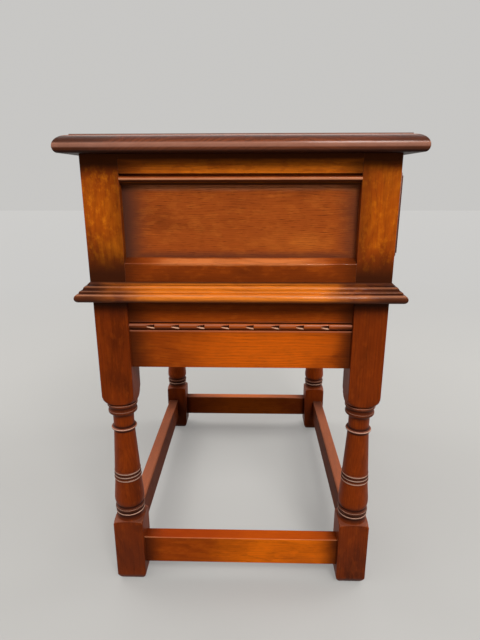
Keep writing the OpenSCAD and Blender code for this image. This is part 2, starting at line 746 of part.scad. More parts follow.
module leg(x, y) color(oak) placed() difference() {
  translate([x * (stand_length - leg_side) / 2, y * (stand_depth - leg_side) / 2, 0]) difference() {
    union() {
      leg_blocks();
      rotate_extrude() polygon(leg_outline());
    }
    for (a = [0:90:270]) rotate([0, 0, a]) translate([leg_side / 2 - foot_bevel, 0, 0])
      rotate([0, atan(foot_bevel / foot_bevel_rise), 0]) translate([0, -over, -over]) cube(2 * over);
  }
  for (side = [front:left]) rotate([0, 0, 90 * side]) {
    mortise(side, apron_tenon[0], apron_tenon[1], apron_setback, apron_thick);
    mortise(side, stretcher_tenon[0], stretcher_tenon[1], stretcher_setback(side), stretcher_thick);
  }
}

// Aprons

// Section of an apron, d outwards from its face and z up from its middle bead
module apron_section() {
  top = bead_drop;
  bottom = bead_drop - apron_height;
  band = bead_height / 2 + bead_quirk;
  crown = bead_band_depth + bead_proud;
  polygon(concat([[-apron_thick, bottom], [0, bottom], [0, -band], [-bead_band_depth, -band]],
    arc(-bead_band_depth, 0, crown, bead_height / 2, -90, 90, 14),
    [[-bead_band_depth, band], [0, band], [0, top], [-apron_thick, top]]));
}

// A nick: a three-sided chip, pointed at its left and stopped square at its right
module nick() {
  out = bead_proud + 0.2;
  half = bead_height * 0.62;
  tip = -nick_length / 2;
  stop = nick_length / 2;
  polyhedron([[tip, -out, 0], [stop, -out, -half], [stop, -out, half], [stop, nick_depth - bead_proud, 0]],
    [[0, 2, 1], [0, 1, 3], [0, 3, 2], [1, 2, 3]]);
}

module apron(side) color(oak) on_side(side) difference() {
  half = half_span(side) - leg_side;
  face = apron_setback - reach(side);
  z_bead = leg_height - bead_drop;
  nicks = floor((2 * half - 2 * nick_margin) / nick_pitch);
  union() {
    translate([-half, face, z_bead]) rotate([90, 0, 90])
      linear_extrude(2 * half) mirror([1, 0]) apron_section();
    block([-half - tenon_length, face + (apron_thick - tenon_thick) / 2, apron_tenon[0]],
      [half + tenon_length, face + (apron_thick + tenon_thick) / 2, apron_tenon[1]]);
  }
  for (i = [0:nicks]) translate([(i - nicks / 2) * nick_pitch - nick_drift, face, z_bead]) nick();
}

// Stretchers

module stretcher(side) color(oak) on_side(side) {
  half = half_span(side) - leg_side;
  face = stretcher_setback(side) - reach(side);
  top = stretcher_clear + stretcher_height;
  ease = stretcher_ease;
  translate([-half, face, 0]) rotate([90, 0, 90]) linear_extrude(2 * half)
    polygon([[0, stretcher_clear], [stretcher_thick, stretcher_clear], [stretcher_thick, top - ease],
      [stretcher_thick - ease, top], [ease, top], [0, top - ease]]);
  block([-half - tenon_length, face + (stretcher_thick - tenon_thick) / 2, stretcher_tenon[0]],
    [half + tenon_length, face + (stretcher_thick + tenon_thick) / 2, stretcher_tenon[1]]);
}

// Cleats inside the long aprons, screwed up into the waist frame

cleat_out = apron_setback + apron_thick + joint_gap;
module each_stand_screw(side) for (x = stand_screw_at)
  translate([x, -reach(side) + cleat_out + cleat_side / 2, z_waist - cleat_side]) children();

module stand_cleats() color(oak_inside) for (side = [front, back]) on_side(side) difference() {
  half = half_span(side) - leg_side - joint_gap;
  y = cleat_out - reach(side);
  block([-half, y, z_waist - cleat_side], [half, y + cleat_side, z_waist]);
  each_stand_screw(side) screw_hole(cleat_side + slack);
}

module stand_screws() color(steel) for (side = [front, back]) on_side(side)
  each_stand_screw(side) screw(cleat_side + screw_bite);

top_board();
stile(left, 1);  // left_end_front_stile
stile(left, -1);  // left_end_back_stile
top_rail(left);  // left_end_top_rail
bottom_rail(left);  // left_end_bottom_rail
panel(left);  // left_end_panel
end_bead(left);  // left_end_bead
stile(right, -1);  // right_end_front_stile
stile(right, 1);  // right_end_back_stile
top_rail(right);  // right_end_top_rail
bottom_rail(right);  // right_end_bottom_rail
panel(right);  // right_end_panel
end_bead(right);  // right_end_bead
stile(back, 1);  // back_left_stile
stile(back, -1);  // back_right_stile
top_rail(back);  // back_top_rail
bottom_rail(back);  // back_bottom_rail
panel(back);  // back_panel
front_stile(-1);  // front_left_stile
front_stile(1);  // front_right_stile
front_top_rail();
front_bottom_rail();
case_floor();
drawer_runner(-1);  // drawer_runner_left
drawer_runner(1);  // drawer_runner_right
drawer_kickers();
drawer_front();
drawer_side(-1);  // drawer_side_left
drawer_side(1);  // drawer_side_right
drawer_back();
drawer_bottom();
handle_plates();
handle_posts();
handle_pins();
handle_nuts();
handle_drop(-1);  // handle_drop_left
handle_drop(1);  // handle_drop_right
waist(front);  // waist_front
waist(right);  // waist_right
waist(back);  // waist_back
waist(left);  // waist_left
leg(-1, -1);  // leg_front_left
leg(1, -1);  // leg_front_right
leg(-1, 1);  // leg_back_left
leg(1, 1);  // leg_back_right
apron(front);  // apron_front
apron(right);  // apron_right
apron(back);  // apron_back
apron(left);  // apron_left
stretcher(front);  // stretcher_front
stretcher(right);  // stretcher_right
stretcher(back);  // stretcher_back
stretcher(left);  // stretcher_left
stand_cleats();
top_screws();
case_screws();
stand_screws();
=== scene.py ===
import math
import random

import bmesh
import bpy
from mathutils import Matrix, Vector


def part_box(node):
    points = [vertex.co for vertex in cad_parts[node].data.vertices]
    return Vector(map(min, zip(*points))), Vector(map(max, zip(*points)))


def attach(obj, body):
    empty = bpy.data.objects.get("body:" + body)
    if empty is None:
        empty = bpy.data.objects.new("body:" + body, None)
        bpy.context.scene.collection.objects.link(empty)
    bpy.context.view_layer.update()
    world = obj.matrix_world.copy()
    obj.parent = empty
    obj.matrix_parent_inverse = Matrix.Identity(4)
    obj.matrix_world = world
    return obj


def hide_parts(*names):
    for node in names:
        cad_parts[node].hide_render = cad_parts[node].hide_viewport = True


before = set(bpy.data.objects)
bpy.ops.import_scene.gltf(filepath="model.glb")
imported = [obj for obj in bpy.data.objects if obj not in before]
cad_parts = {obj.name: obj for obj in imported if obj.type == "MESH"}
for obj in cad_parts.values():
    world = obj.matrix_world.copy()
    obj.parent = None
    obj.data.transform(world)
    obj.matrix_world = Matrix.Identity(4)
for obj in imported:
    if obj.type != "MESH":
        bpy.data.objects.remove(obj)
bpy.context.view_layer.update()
mm = 0.001
scene = bpy.context.scene
print("frame loaded:", len(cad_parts), "nodes")


def boxOf(node):
    low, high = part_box(node)
    return low / mm, high / mm


# Places that every piece is worked out from, in millimetres
topLow, topHigh = boxOf("top_board")
tableShift = (topLow.y + topHigh.y) / 2
legLow, legHigh = boxOf("leg_front_left")
standHalf = (-legLow.x, tableShift - legLow.y)
legSide = legHigh.x + standHalf[0]
legHeight = legHigh.z
caseFoot = boxOf("left_end_front_stile")[0].z
sides = {"front": 0, "right": 1, "back": 2, "left": 3}
nearSide = sides["left"]      # the end that the camera looks at


def sidePoint(side, along, out, height):
    # drawn as the front is, out towards -Y, then turned to its own side of the table
    turn = Matrix.Rotation(math.radians(90 * side), 3, "Z")
    place = turn @ Vector((along, -out, height))
    return (place + Vector((0, tableShift, 0))) * mm


def sideReach(side):
    return standHalf[1 - side % 2]


def sideSpan(side):
    return standHalf[side % 2]


def lengthAxis(side):
    return "xy"[side % 2]


def middleOf(side):
    # the middle of a side's length, along its own axis
    return tableShift if side % 2 else 0


def betweenLegs(side):
    # where a side's aprons and stretchers meet the legs, along its own axis
    half = sideSpan(side) - legSide
    return [middleOf(side) - half, middleOf(side) + half]


def spread(start, length, count):
    return [start + length * i / count for i in range(count + 1)]


# Outlines: lists of (out, height) points, with round stretches as arcs
def arc(middleX, middleZ, radiusX, radiusZ, start, end, steps):
    angles = [math.radians(a) for a in spread(start, end - start, steps)]
    return [(middleX + radiusX * math.cos(a), middleZ + radiusZ * math.sin(a)) for a in angles]


def ring(footRadius, ringRadius, height, thickness):
    return arc(footRadius, height, ringRadius - footRadius, thickness / 2, -90, 90, 12)


def refined(outline, step):
    # splits the long stretches, so that stain and wear have points to lie on
    points = [outline[0]]
    for before, after in zip(outline, outline[1:]):
        count = max(1, math.ceil(math.dist(before, after) / step))
        for i in range(1, count + 1):
            points.append(tuple(a + (b - a) * i / count for a, b in zip(before, after)))
    return points


def hollows(outline, span):
    # how far each point lies behind the outline's own average: above 0 in a groove, below 0 on a crown
    found = []
    for x, z in outline:
        near = [p for p in outline if math.dist(p, (x, z)) <= span]
        found.append(sum(p[0] for p in near) / len(near) - x)
    return found


def tubeFaces(rows, around):
    # faces of rows of points that close round, with a cap at either end
    faces = [
        (row * around + i, row * around + (i + 1) % around,
         (row + 1) * around + (i + 1) % around, (row + 1) * around + i)
        for row in range(rows - 1) for i in range(around)
    ]
    return faces + [tuple(range(around)), tuple(range((rows - 1) * around, rows * around))]


def makePiece(name, points, faces, hollow=None, smoothAngle=40):
    mesh = bpy.data.meshes.new(name)
    mesh.from_pydata(points, [], faces)
    if hollow:
        stored = mesh.attributes.new("hollow", "FLOAT", "POINT")
        stored.data.foreach_set("value", hollow)
    mesh.validate()
    return finishPiece(name, mesh, smoothAngle)


def finishPiece(name, mesh, smoothAngle=40):
    made = bmesh.new()
    made.from_mesh(mesh)
    bmesh.ops.recalc_face_normals(made, faces=made.faces)
    made.to_mesh(mesh)
    made.free()
    mesh.polygons.foreach_set("use_smooth", [True] * len(mesh.polygons))
    mesh.set_sharp_from_angle(angle=math.radians(smoothAngle))
    piece = bpy.data.objects.new(name, mesh)
    scene.collection.objects.link(piece)
    return piece


def fit(piece, body, slotName, material, *nodes):
    piece.data.materials.clear()
    piece.data.materials.append(material)
    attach(piece, body)
    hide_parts(*nodes)


# Wood planed and sanded by hand: a copy of the frame's own board with its arrises eased
softening = {
    "width": 0.55, "steps": 3, "leastAngle": 28, "leastLength": 9, "crown": -0.8,
    "weld": 0.00001, "flat": 0.01,
}


def softened(node, width):
    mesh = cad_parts[node].data.copy()
    made = bmesh.new()
    made.from_mesh(mesh)
    bmesh.ops.remove_doubles(made, verts=made.verts, dist=softening["weld"])
    bmesh.ops.dissolve_limit(made, angle_limit=softening["flat"], verts=made.verts, edges=made.edges)
    arrises = [
        edge for edge in made.edges
        if len(edge.link_faces) == 2 and edge.is_convex
        and edge.calc_face_angle() > math.radians(softening["leastAngle"])
        and edge.calc_length() > softening["leastLength"] * mm
    ]
    eased = set(bmesh.ops.bevel(
        made, geom=arrises, offset=width * mm, segments=softening["steps"],
        profile=0.5, affect="EDGES", clamp_overlap=True)["faces"])
    # the middle of an eased arris is a crown, where the stain paints a highlight: none of its points lie on a
    # flat face
    crown = made.verts.layers.float.new("hollow")
    for point in made.verts:
        point[crown] = softening["crown"] if all(face in eased for face in point.link_faces) else 0
    made.to_mesh(mesh)
    made.free()
    mesh.name = "eased_" + node
    piece = finishPiece("eased_" + node, mesh)
    firm = piece.modifiers.new("firm", "WEIGHTED_NORMAL")
    firm.keep_sharp = True
    return piece


print("helpers ready")


class Flow:
    # a shader socket that adds and multiplies as a number does
    def __init__(self, paint, socket):
        self.paint = paint
        self.socket = socket

    def __add__(self, other):
        return self.paint.maths("ADD", self, other)

    def __radd__(self, other):
        return self.paint.maths("ADD", other, self)

    def __sub__(self, other):
        return self.paint.maths("SUBTRACT", self, other)

    def __rsub__(self, other):
        return self.paint.maths("SUBTRACT", other, self)

    def __mul__(self, other):
        return self.paint.maths("MULTIPLY", self, other)

    def __rmul__(self, other):
        return self.paint.maths("MULTIPLY", other, self)

    def __truediv__(self, other):
        return self.paint.maths("DIVIDE", self, other)

    def __pow__(self, other):
        return self.paint.maths("POWER", self, other)


class Paint:
    # a material or a world: node() makes any node, and expressions on Flow values the Math nodes
    def __init__(self, owner, shader, fixed):
        owner.use_nodes = True
        self.owner = owner
        self.tree = owner.node_tree
        self.shader = self.tree.nodes[shader]
        self.surface(**fixed)

    def node(self, kind, settings, sockets, out=0):
        made = self.tree.nodes.new("ShaderNode" + kind)
        for key, value in settings.items():
            if key == "stops":
                self.setStops(made.color_ramp, value)
            else:
                setattr(made, key, value)
        for key, value in sockets.items():
            self.feed(made.inputs[key], value)
        return Flow(self, made.outputs[out])

    def setStops(self, ramp, stops):
        ramp.interpolation = "EASE"
        for place, value in stops:
            stop = ramp.elements.new(place) if place else ramp.elements[0]
            stop.color = (value, value, value, 1)
        ramp.elements.remove(ramp.elements[-1])      # the white one that a new ramp ends with

    def feed(self, socket, value):
        if isinstance(value, Flow):
            self.tree.links.new(value.socket, socket)
        else:
            # a colour is (red, green, blue)
            socket.default_value = (*value, 1) if isinstance(value, tuple) else value

    def maths(self, operation, first, second=0.0):
        return self.node("Math", {"operation": operation}, {0: first, 1: second})

    def mix(self, factor, first, second):
        return self.node("Mix", {"data_type": "RGBA"}, {0: factor, 6: first, 7: second}, out=2)

    def rise(self, value, start, end):
        # 0 below start, 1 above end, with a smooth run between
        settings = {"interpolation_type": "SMOOTHSTEP"}
        return self.node("MapRange", settings, {"Value": value, "From Min": start, "From Max": end})

    def noise(self, place, detail=2.0, rough=0.5):
        spot = self.node("CombineXYZ", {}, dict(enumerate(place)))
        return self.node("TexNoise", {}, {"Vector": spot, "Scale": 1.0, "Detail": detail, "Roughness": rough})

    def spot(self):
        # the place on the table at rest, in millimetres
        place = self.node("TexCoord", {}, {}, out="Object")
        return [self.node("SeparateXYZ", {}, {0: place}, out=i) * (1 / mm) for i in range(3)]

    def upward(self):
        # 0 on an upright face, 1 on a level one that looks up
        facing = self.node("TexCoord", {}, {}, out="Normal")
        return self.node("SeparateXYZ", {}, {0: facing}, out="Z")

    def seen(self):
        # 1 for what the camera sees, also in a reflection or through glass, 0 for light on the table
        rays = ("Is Camera Ray", "Is Glossy Ray", "Is Transmission Ray")
        camera, glossy, passing = [self.node("LightPath", {}, {}, out=ray) for ray in rays]
        return self.maths("MINIMUM", camera + glossy + passing, 1.0)

    def surface(self, **sockets):
        for key, value in sockets.items():
            self.feed(self.shader.inputs[key], value)
        return self.owner


def newPaint(name, fixed):
    return Paint(bpy.data.materials.new(name), "Principled BSDF", fixed)


# Stained and lacquered oak: what a piece may change
oakFinish = {
    "deep": (0.115, 0.0165, 0.0022), "warm": (0.30, 0.048, 0.0035), "golden": (0.47, 0.090, 0.006),
    "wiped": (0.48, 0.078, 0.0035), "shaded": (0.022, 0.0045, 0.0028), "pore": (0.030, 0.006, 0.0022),
    "ringPitch": 3.6, "ringStrength": 0.14, "poreStrength": 0.40, "goldenShare": 0.3, "fibre": 0.9,
    "mottle": 0.25, "blotch": (0.05, 0.11), "blotchEdge": (0.50, 0.64),
    "coat": 0.07, "crownCoat": 0.5, "coatRough": 0.12, "rough": 0.46, "specular": 0.45,
    "glow": (1.0, 0.26, 0.02), "worn": (0.44, 0.110, 0.030), "bareAndGlint": (0.62, 0.37, 0.24),
    "grooveShade": 1.0,                 # how dark the painted shade makes a groove
    "rub": 0.2,                  # how pale wear makes a crown
    # gleam is the colour of a painted highlight on crowns
    "gleam": (0.46, 0.20, 0.14), "gleamShare": 0.8,
    "gleamFrom": 0.42,           # a crown takes a painted highlight where its normal's height lies between these two
    "gleamTo": 0.95,
    # line is the colour of a painted highlight line, and lineCoat adds lacquer along it
    "line": (0.62, 0.36, 0.25), "lineShare": 0.85, "lineCoat": 0.0,
    "under": 0.5,                # how dark the painted shade on a crown's lower side is
    # faces that look up take a painted tone of light, paler or darker than the wood
    "paintedTopLight": 0.0, "paintedTopLightTone": (0.34, 0.15, 0.095),
    "plank": 0,                  # width of the boards that a slab is glued up of, 0 for one board
    "plankSlip": (211, 53), "plankJoint": 0.5,
}

# Noises in the wood: steps per millimetre along the fibres, across and deep, then detail and roughness
oakNoise = {
    "drift": (0.0030, 0.011, 0.011, 2, 0.5), "wave": (0.016, 0.06, 0.06, 2, 0.5),
    "dashes": (0.075, 2.3, 2.3, 2, 0.6), "fibres": (0.018, 0.9, 0.9, 3, 0.6),
    "fleck": (0.045, 0.42, 0.12, 1, 0.5), "cloud": (0.006, 0.017, 0.017, 3, 0.55),
    "patch": (0.024, 0.04, 0.04, 3, 0.6), "brushed": (0.02, 0.6, 0.6, 2, 0.5),
}
highlightLine = -2      # a point's hollow where a painted highlight line lies; below -3 the wood is cut bare, its pale colour partly a painted highlight


def oak(name, grain, seed, shades=(), heart=(), **changes):
    # grain is the axis that the fibres run along; shades are (axis, place, reach, depth) of a darker edge,
    # darker toner and painted shade both, and the stretches are (axis, low, high, fade) where the stain was
    # wiped thin and a pool of light is painted
    look = dict(oakFinish, **changes)
    paint = newPaint(name, {
        "IOR": 1.5,
        "Specular IOR Level": look["specular"],
        "Specular Tint": look["glow"],
        "Coat Roughness": look["coatRough"],
        "Coat IOR": 1.5,
    })
    chance = random.Random(seed)
    table = paint.spot()
    order = {"x": (0, 1, 2), "y": (1, 0, 2), "z": (2, 0, 1)}[grain]
    along, across, deep = (table[i] + chance.uniform(-700, 700) for i in order)
    pith = [chance.choice([-1, 1]) * chance.uniform(60, 130) for i in range(2)]
    if look["plank"]:
        # glued up of boards: the grain starts afresh at each joint
        share = table[order[1]] / look["plank"]
        plank = paint.maths("FLOOR", share)
        along = along + plank * look["plankSlip"][0]
        across = across + plank * look["plankSlip"][1]
        joint = paint.maths("ABSOLUTE", share - plank - 0.5) - 0.5
        joint = paint.rise(joint * look["plank"], -look["plankJoint"], 0)

    def figure(lengthways, sideways, inwards, detail, rough):
        return paint.noise((along * lengthways, across * sideways, deep * inwards), detail, rough)

    drift, wave, dashes, fibres, fleck, cloud, patch, brushed = [figure(*own) for own in oakNoise.values()]

    # Rings lie round the pith and drift slowly along the board
    radius = ((table[order[1]] + pith[0]) ** 2 + (table[order[2]] + pith[1]) ** 2) ** 0.5
    radius = radius + drift * 46 + wave * 5
    turn = paint.maths("FRACT", radius / look["ringPitch"])
    early = paint.rise(turn, 0.0, 0.10) * (1 - paint.rise(turn, 0.16, 0.62))

    # Pores are short dark dashes, thick in the early wood
    pores = paint.rise(dashes, 0.53, 0.66) * (0.25 + 0.75 * early)

    # Stain takes unevenly, and the figure shows as small golden mottles
    lengthways, sideways = look["blotch"]
    mottle = figure(lengthways, sideways, sideways, 3, 0.65)
    mottle = paint.rise(mottle, *look["blotchEdge"]) * look["mottle"]
    slide = 0.28 * look["goldenShare"]
    golden = paint.rise(cloud * 0.6 + patch * 0.4, 0.62 - slide, 0.80 - slide)
    body = paint.mix(paint.rise(cloud + patch * 0.3, 0.34, 0.68), look["deep"], look["warm"])
    # the wiped stretch is a paler toner that also stands in for a painted pool of light
    wiped = 1.0
    for axis, low, high, fade in heart:
        place = table["xyz".index(axis)] + (patch - 0.5) * fade
        wiped = wiped * paint.rise(place, low, low + fade) * (1 - paint.rise(place, high - fade, high))
    if heart:
        body = paint.mix(wiped, body, look["wiped"])
    body = paint.mix(golden * 0.8, body, look["golden"])
    body = paint.mix(mottle, body, look["golden"])
    body = paint.mix(early * look["ringStrength"], body, look["deep"])
    body = paint.mix((fibres - 0.5) * look["fibre"] + 0.1, body, look["deep"])
    body = paint.mix(paint.rise(fleck, 0.62, 0.72) * 0.22, body, look["golden"])
    body = paint.mix(pores * look["poreStrength"], body, look["pore"])
    if look["plank"]:
        body = paint.mix(joint * 0.6, body, look["pore"])

    # Painted shade in the grooves and towards the listed edges, in corners and under overhangs, partly on a
    # darker toner
    ragged = 0.75 + 0.5 * patch
    hollow = paint.node("Attribute", {"attribute_name": "hollow"}, {}, out=2)
    dark = paint.rise(hollow, 0.05, 1.1) * look["grooveShade"]
    for axis, place, reach, depth in shades:
        distance = paint.maths("ABSOLUTE", table["xyz".index(axis)] - place) * ragged
        dark = paint.maths("MAXIMUM", dark, (1 - paint.rise(distance, 0, reach)) * depth)
    body = paint.mix(dark, body, look["shaded"])

    # Crowns are rubbed pale; their lower side takes a painted shade, and a painted highlight lies where they
    # face up
    crown = paint.rise(hollow, -0.15, -1.1)
    edge = paint.rise(hollow, -0.05, -0.5)
    body = paint.mix(crown * look["rub"] * ragged, body, look["worn"])
    up = paint.upward()
    under = (1 - paint.rise(up, -0.6, -0.02)) * edge
    body = paint.mix(under * look["under"], body, look["shaded"])
    low, high = look["gleamFrom"], look["gleamTo"]
    facing = paint.rise(up, low, low + 0.22) * (1 - paint.rise(up, high - 0.14, high))
    gleam = edge * facing * (0.3 + 0.6 * patch + 0.5 * fibres)
    body = paint.mix(gleam * look["gleamShare"], body, look["gleam"])
    # painted light on the faces that look up
    if look["paintedTopLight"]:
        litFromAbove = paint.rise(up, 0.6, 0.95) * (1 - 0.8 * dark)
        body = paint.mix(litFromAbove * look["paintedTopLight"], body, look["paintedTopLightTone"])
    # painted highlight lines
    line = paint.rise(hollow, -1.5, -1.9) * (1 - paint.rise(hollow, -2.1, -2.3))
    body = paint.mix(line * look["lineShare"] * ragged, body, look["line"])
    # where the wood is cut bare its colour is pale, partly a painted highlight
    bareAndGlint = paint.rise(hollow, -2.3, -3.0)
    body = paint.mix(bareAndGlint, body, look["bareAndGlint"])

    # Lacquer: fills most of the pores, ripples a little and is thinner where it is rubbed
    ripple = paint.noise([value * 0.045 for value in table])
    height = ripple * 0.5 + brushed * 0.035 - pores * 0.05
    normal = paint.node("Bump", {}, {"Height": height, "Strength": 0.55, "Distance": 0.0007})
    lacquer = look["coat"] * (1 - 0.35 * patch - 0.3 * pores)
    lacquer = lacquer + look["crownCoat"] * crown + look["lineCoat"] * line
    return paint.surface(**{
        "Base Color": body,
        "Roughness": look["rough"] + 0.14 * patch + 0.15 * pores,
        "Coat Weight": lacquer * (1 - 0.85 * dark) * (1 - bareAndGlint),
        "Normal": normal,
    })


def board(node, grain, seed, stain, slotName="oak_case", body="table", width=softening["width"],
          named="oak_", **marks):
    # a board in the frame's own shape, eased and stained
    wood = oak(named + node, grain, seed, **dict(stain, **marks))
    fit(softened(node, width), body, slotName, wood, node)


# Metals: fresh, worn and tarnished stretches
metals = {
    "antique_brass": {
        "fresh": (0.50, 0.31, 0.10), "worn": (0.28, 0.155, 0.048), "tarnish": (0.06, 0.034, 0.014),
        "rough": 0.24,
        "nodes": ("handle_plates", "handle_posts", "handle_pins", "handle_drop_left", "handle_drop_right"),
    },
    "plain_steel": {
        "fresh": (0.48, 0.47, 0.45), "worn": (0.30, 0.29, 0.28), "tarnish": (0.12, 0.10, 0.09),
        "rough": 0.30,
        "nodes": ("handle_nuts", "top_screws", "case_screws", "stand_screws"),
    },
}


def metal(name, look):
    paint = newPaint(name, {"IOR": 1.5})
    table = paint.spot()
    cloud = paint.noise([value * 0.16 for value in table], 4.0, 0.6)
    scratch = paint.noise((table[0] * 1.4, table[1] * 1.4, table[2] * 0.25), 3.0, 0.6)
    body = paint.mix(paint.rise(cloud, 0.40, 0.62), look["fresh"], look["worn"])
    body = paint.mix(paint.rise(cloud * 0.6 + scratch * 0.4, 0.52, 0.70) * 0.8, body, look["tarnish"])
    return paint.surface(**{
        "Base Color": body,
        "Metallic": 1 - 0.35 * paint.rise(cloud, 0.5, 0.7),
        "Roughness": look["rough"] + 0.25 * cloud,
        "Normal": paint.node("Bump", {}, {"Height": scratch, "Strength": 0.2, "Distance": 0.0002}),
    })


print("materials ready")


# Top: one slab with a rounded nose and a fillet worked round its edge
topShape = {
    "noseHeight": 7.5, "noseUnder": 5, "noseRun": 16.5, "fillet": 1.25, "ease": 0.5, "step": 9,
    "wander": 0.10, "seed": 11, "lineFrom": -2.8, "lineTo": -1.3, "filletWearAndGleam": -0.9,
}
topStain = {
    "deep": (0.022, 0.0055, 0.0035), "warm": (0.085, 0.0155, 0.0065),
    "golden": (0.22, 0.046, 0.012), "wiped": (0.185, 0.040, 0.012),
    "shaded": (0.011, 0.0035, 0.003), "gleam": (0.38, 0.17, 0.115),
    "line": (0.36, 0.17, 0.12), "lineShare": 0.35, "lineCoat": 0.8, "gleamFrom": -0.22, "gleamTo": 0.42,
    "coat": 0.35, "crownCoat": 0.2, "coatRough": 0.16, "specular": 0.2, "goldenShare": 0.2, "mottle": 0.2,
    "blotch": (0.012, 0.16), "blotchEdge": (0.5, 0.7), "ringPitch": 5, "ringStrength": 0.45, "fibre": 1.6,
    "poreStrength": 0.7, "plank": 112,
}


def topEdge():
    # (inset, height) from the middle of the underside round to the flat top
    shape = topShape
    low, high, ease, run = topLow.z, topHigh.z, shape["ease"], shape["noseRun"]
    under, noseHeight = shape["noseUnder"], shape["noseHeight"]
    rise = high - low - shape["fillet"] - noseHeight
    edge = [(130, low), (40, low)]
    edge += [(under - x, z) for x, z in arc(0, low + noseHeight, under, noseHeight, -90, 0, 14)]
    edge += [(run - x, z) for x, z in arc(0, low + noseHeight, run, rise, 6, 87, 26)]
    edge += [(run, high - shape["fillet"]), (run, high - ease)]
    edge += [(run + ease - x, z) for x, z in arc(0, high - ease, ease, ease, 30, 90, 3)]
    return edge + [(run + 8, high), (run + 40, high), (130, high)]


def makeTop():
    shape = topShape
    edge, high, run = topEdge(), topHigh.z, shape["noseRun"]
    hollow = [-value for value in hollows(edge, 6)]
    for i, (inset, height) in enumerate(edge):
        # below the fillet a painted highlight line runs round the top, and the fillet is worn with a painted
        # highlight
        if shape["lineFrom"] < height - high < shape["lineTo"] and inset < run - 0.5:
            hollow[i] = highlightLine
        if inset == run and height > high - shape["fillet"] - 0.1:
            hollow[i] = shape["filletWearAndGleam"]
    half = ((topHigh.x - topLow.x) / 2, (topHigh.y - topLow.y) / 2)
    chance = random.Random(shape["seed"])
    points, values = [], []
    counts = [round(2 * reach / shape["step"]) for reach in half]
    stations = []
    for corner, count in enumerate(counts * 2):
        stations += [(corner, i / count, chance.uniform(0, 1)) for i in range(count)]
    corners = [(-1, -1), (1, -1), (1, 1), (-1, 1)]
    for (inset, height), hollowHere in zip(edge, hollow):
        for corner, share, luck in stations:
            start, end = corners[corner], corners[(corner + 1) % 4]
            reach = [h - inset - shape["wander"] * luck * (inset < run) for h in half]
            spotX = (start[0] + (end[0] - start[0]) * share) * reach[0]
            spotY = (start[1] + (end[1] - start[1]) * share) * reach[1]
            points.append(Vector((spotX, spotY + tableShift, height)) * mm)
            values.append(hollowHere)
    faces = tubeFaces(len(edge), len(stations))
    return makePiece("moulded_top", points, faces, values, 50)


# painted shade on the nose's lower side; darker ends and edges, toner and painted shade both, and a painted
# pool of light in the wiped stretch
topWood = oak(
    "top_oak", "x", 3, **topStain,
    shades=[("z", topLow.z, 6, 1.0), ("y", topLow.y, 110, 0.55), ("y", topHigh.y, 120, 0.8),
            ("x", topLow.x + 16, 60, 0.3), ("x", topHigh.x - 16, 60, 0.3)],
    heart=[("y", topLow.y + 30, topHigh.y - 30, 90), ("z", topLow.z - 10, topHigh.z - 5, 4)])
fit(makeTop(), "table", "oak_top", topWood, "top_board")
print("top done")


# Moulded strips: mitred where endAt grows with the distance out
def strip(name, side, outline, endAt, step, hollow, carve=None, columns=None):
    # outline holds (out, height); endAt gives half the length at a distance out
    if columns is None:
        length = 2 * endAt(max(out for out, height in outline))
        count = max(2, round(length / step))
        columns = spread(-1, 2, count)
    points, values = [], []
    for share in columns:
        for (out, height), hollowHere in zip(outline, hollow):
            half = endAt(out)
            outHere, dark = carve(share * half, out, height) if carve else (out, 0)
            points.append(sidePoint(side, share * half, outHere, height))
            values.append(hollowHere + dark)
    return makePiece(name, points, tubeFaces(len(columns), len(outline)), values, 38)


# Waist moulding: a round nose, a thin reed and a broad round on a slope, up to a narrow step
waistShape = {
    "height": 25.5, "reach": 19, "inset": 50, "noseRadius": 6, "reed": (2, 13.2), "round": (4.9, 16.4),
    "groove": 1.6, "lip": 4.6, "lipHeight": 3.3, "lipTop": 1, "ease": 0.4, "mitreGap": 0.06, "step": 12,
}
waistStain = {
    "deep": (0.045, 0.010, 0.005), "warm": (0.115, 0.022, 0.008), "golden": (0.62, 0.15, 0.010),
    "wiped": (0.76, 0.19, 0.010), "shaded": (0.026, 0.0075, 0.0055),
    "gleam": (0.50, 0.20, 0.09), "gleamShare": 0.4, "gleamFrom": 0.5, "gleamTo": 0.93,
    "coat": 0.12, "crownCoat": 0.3, "coatRough": 0.14, "specular": 0.3, "goldenShare": 0.5,
    "grooveShade": 0.2, "rub": 0.12, "under": 0.35,
}


def waistOutline():
    shape = waistShape
    top, nose, ease, lip = shape["height"], shape["noseRadius"], shape["ease"], shape["lip"]
    slope = shape["reach"] + nose * math.sqrt(2)      # out + height along the line that all rounds touch
    core = slope - shape["groove"] * math.sqrt(2)
    outline = []
    for radius, height in ((nose, nose), shape["reed"], shape["round"]):
        # each round runs between the two places where it dips under the core of the slope
        opening = math.degrees(math.acos(1 - shape["groove"] / radius))
        start = 45 - opening if outline else -90
        middle = slope - radius * math.sqrt(2) - height
        outline += arc(middle, height, radius, radius, start, 45 + opening, 20)
    step, lipTop = top - shape["lipHeight"], shape["lipTop"]
    outline += [(core - step, step), (lip - ease, step), (lip - ease * 0.3, step + ease * 0.3)]
    outline += [(lip - ease * 1.2, step + ease), ((lip + lipTop) / 2, (step + top) / 2), (lipTop, top)]
    return outline + [(-shape["inset"], top), (-shape["inset"], 0)]


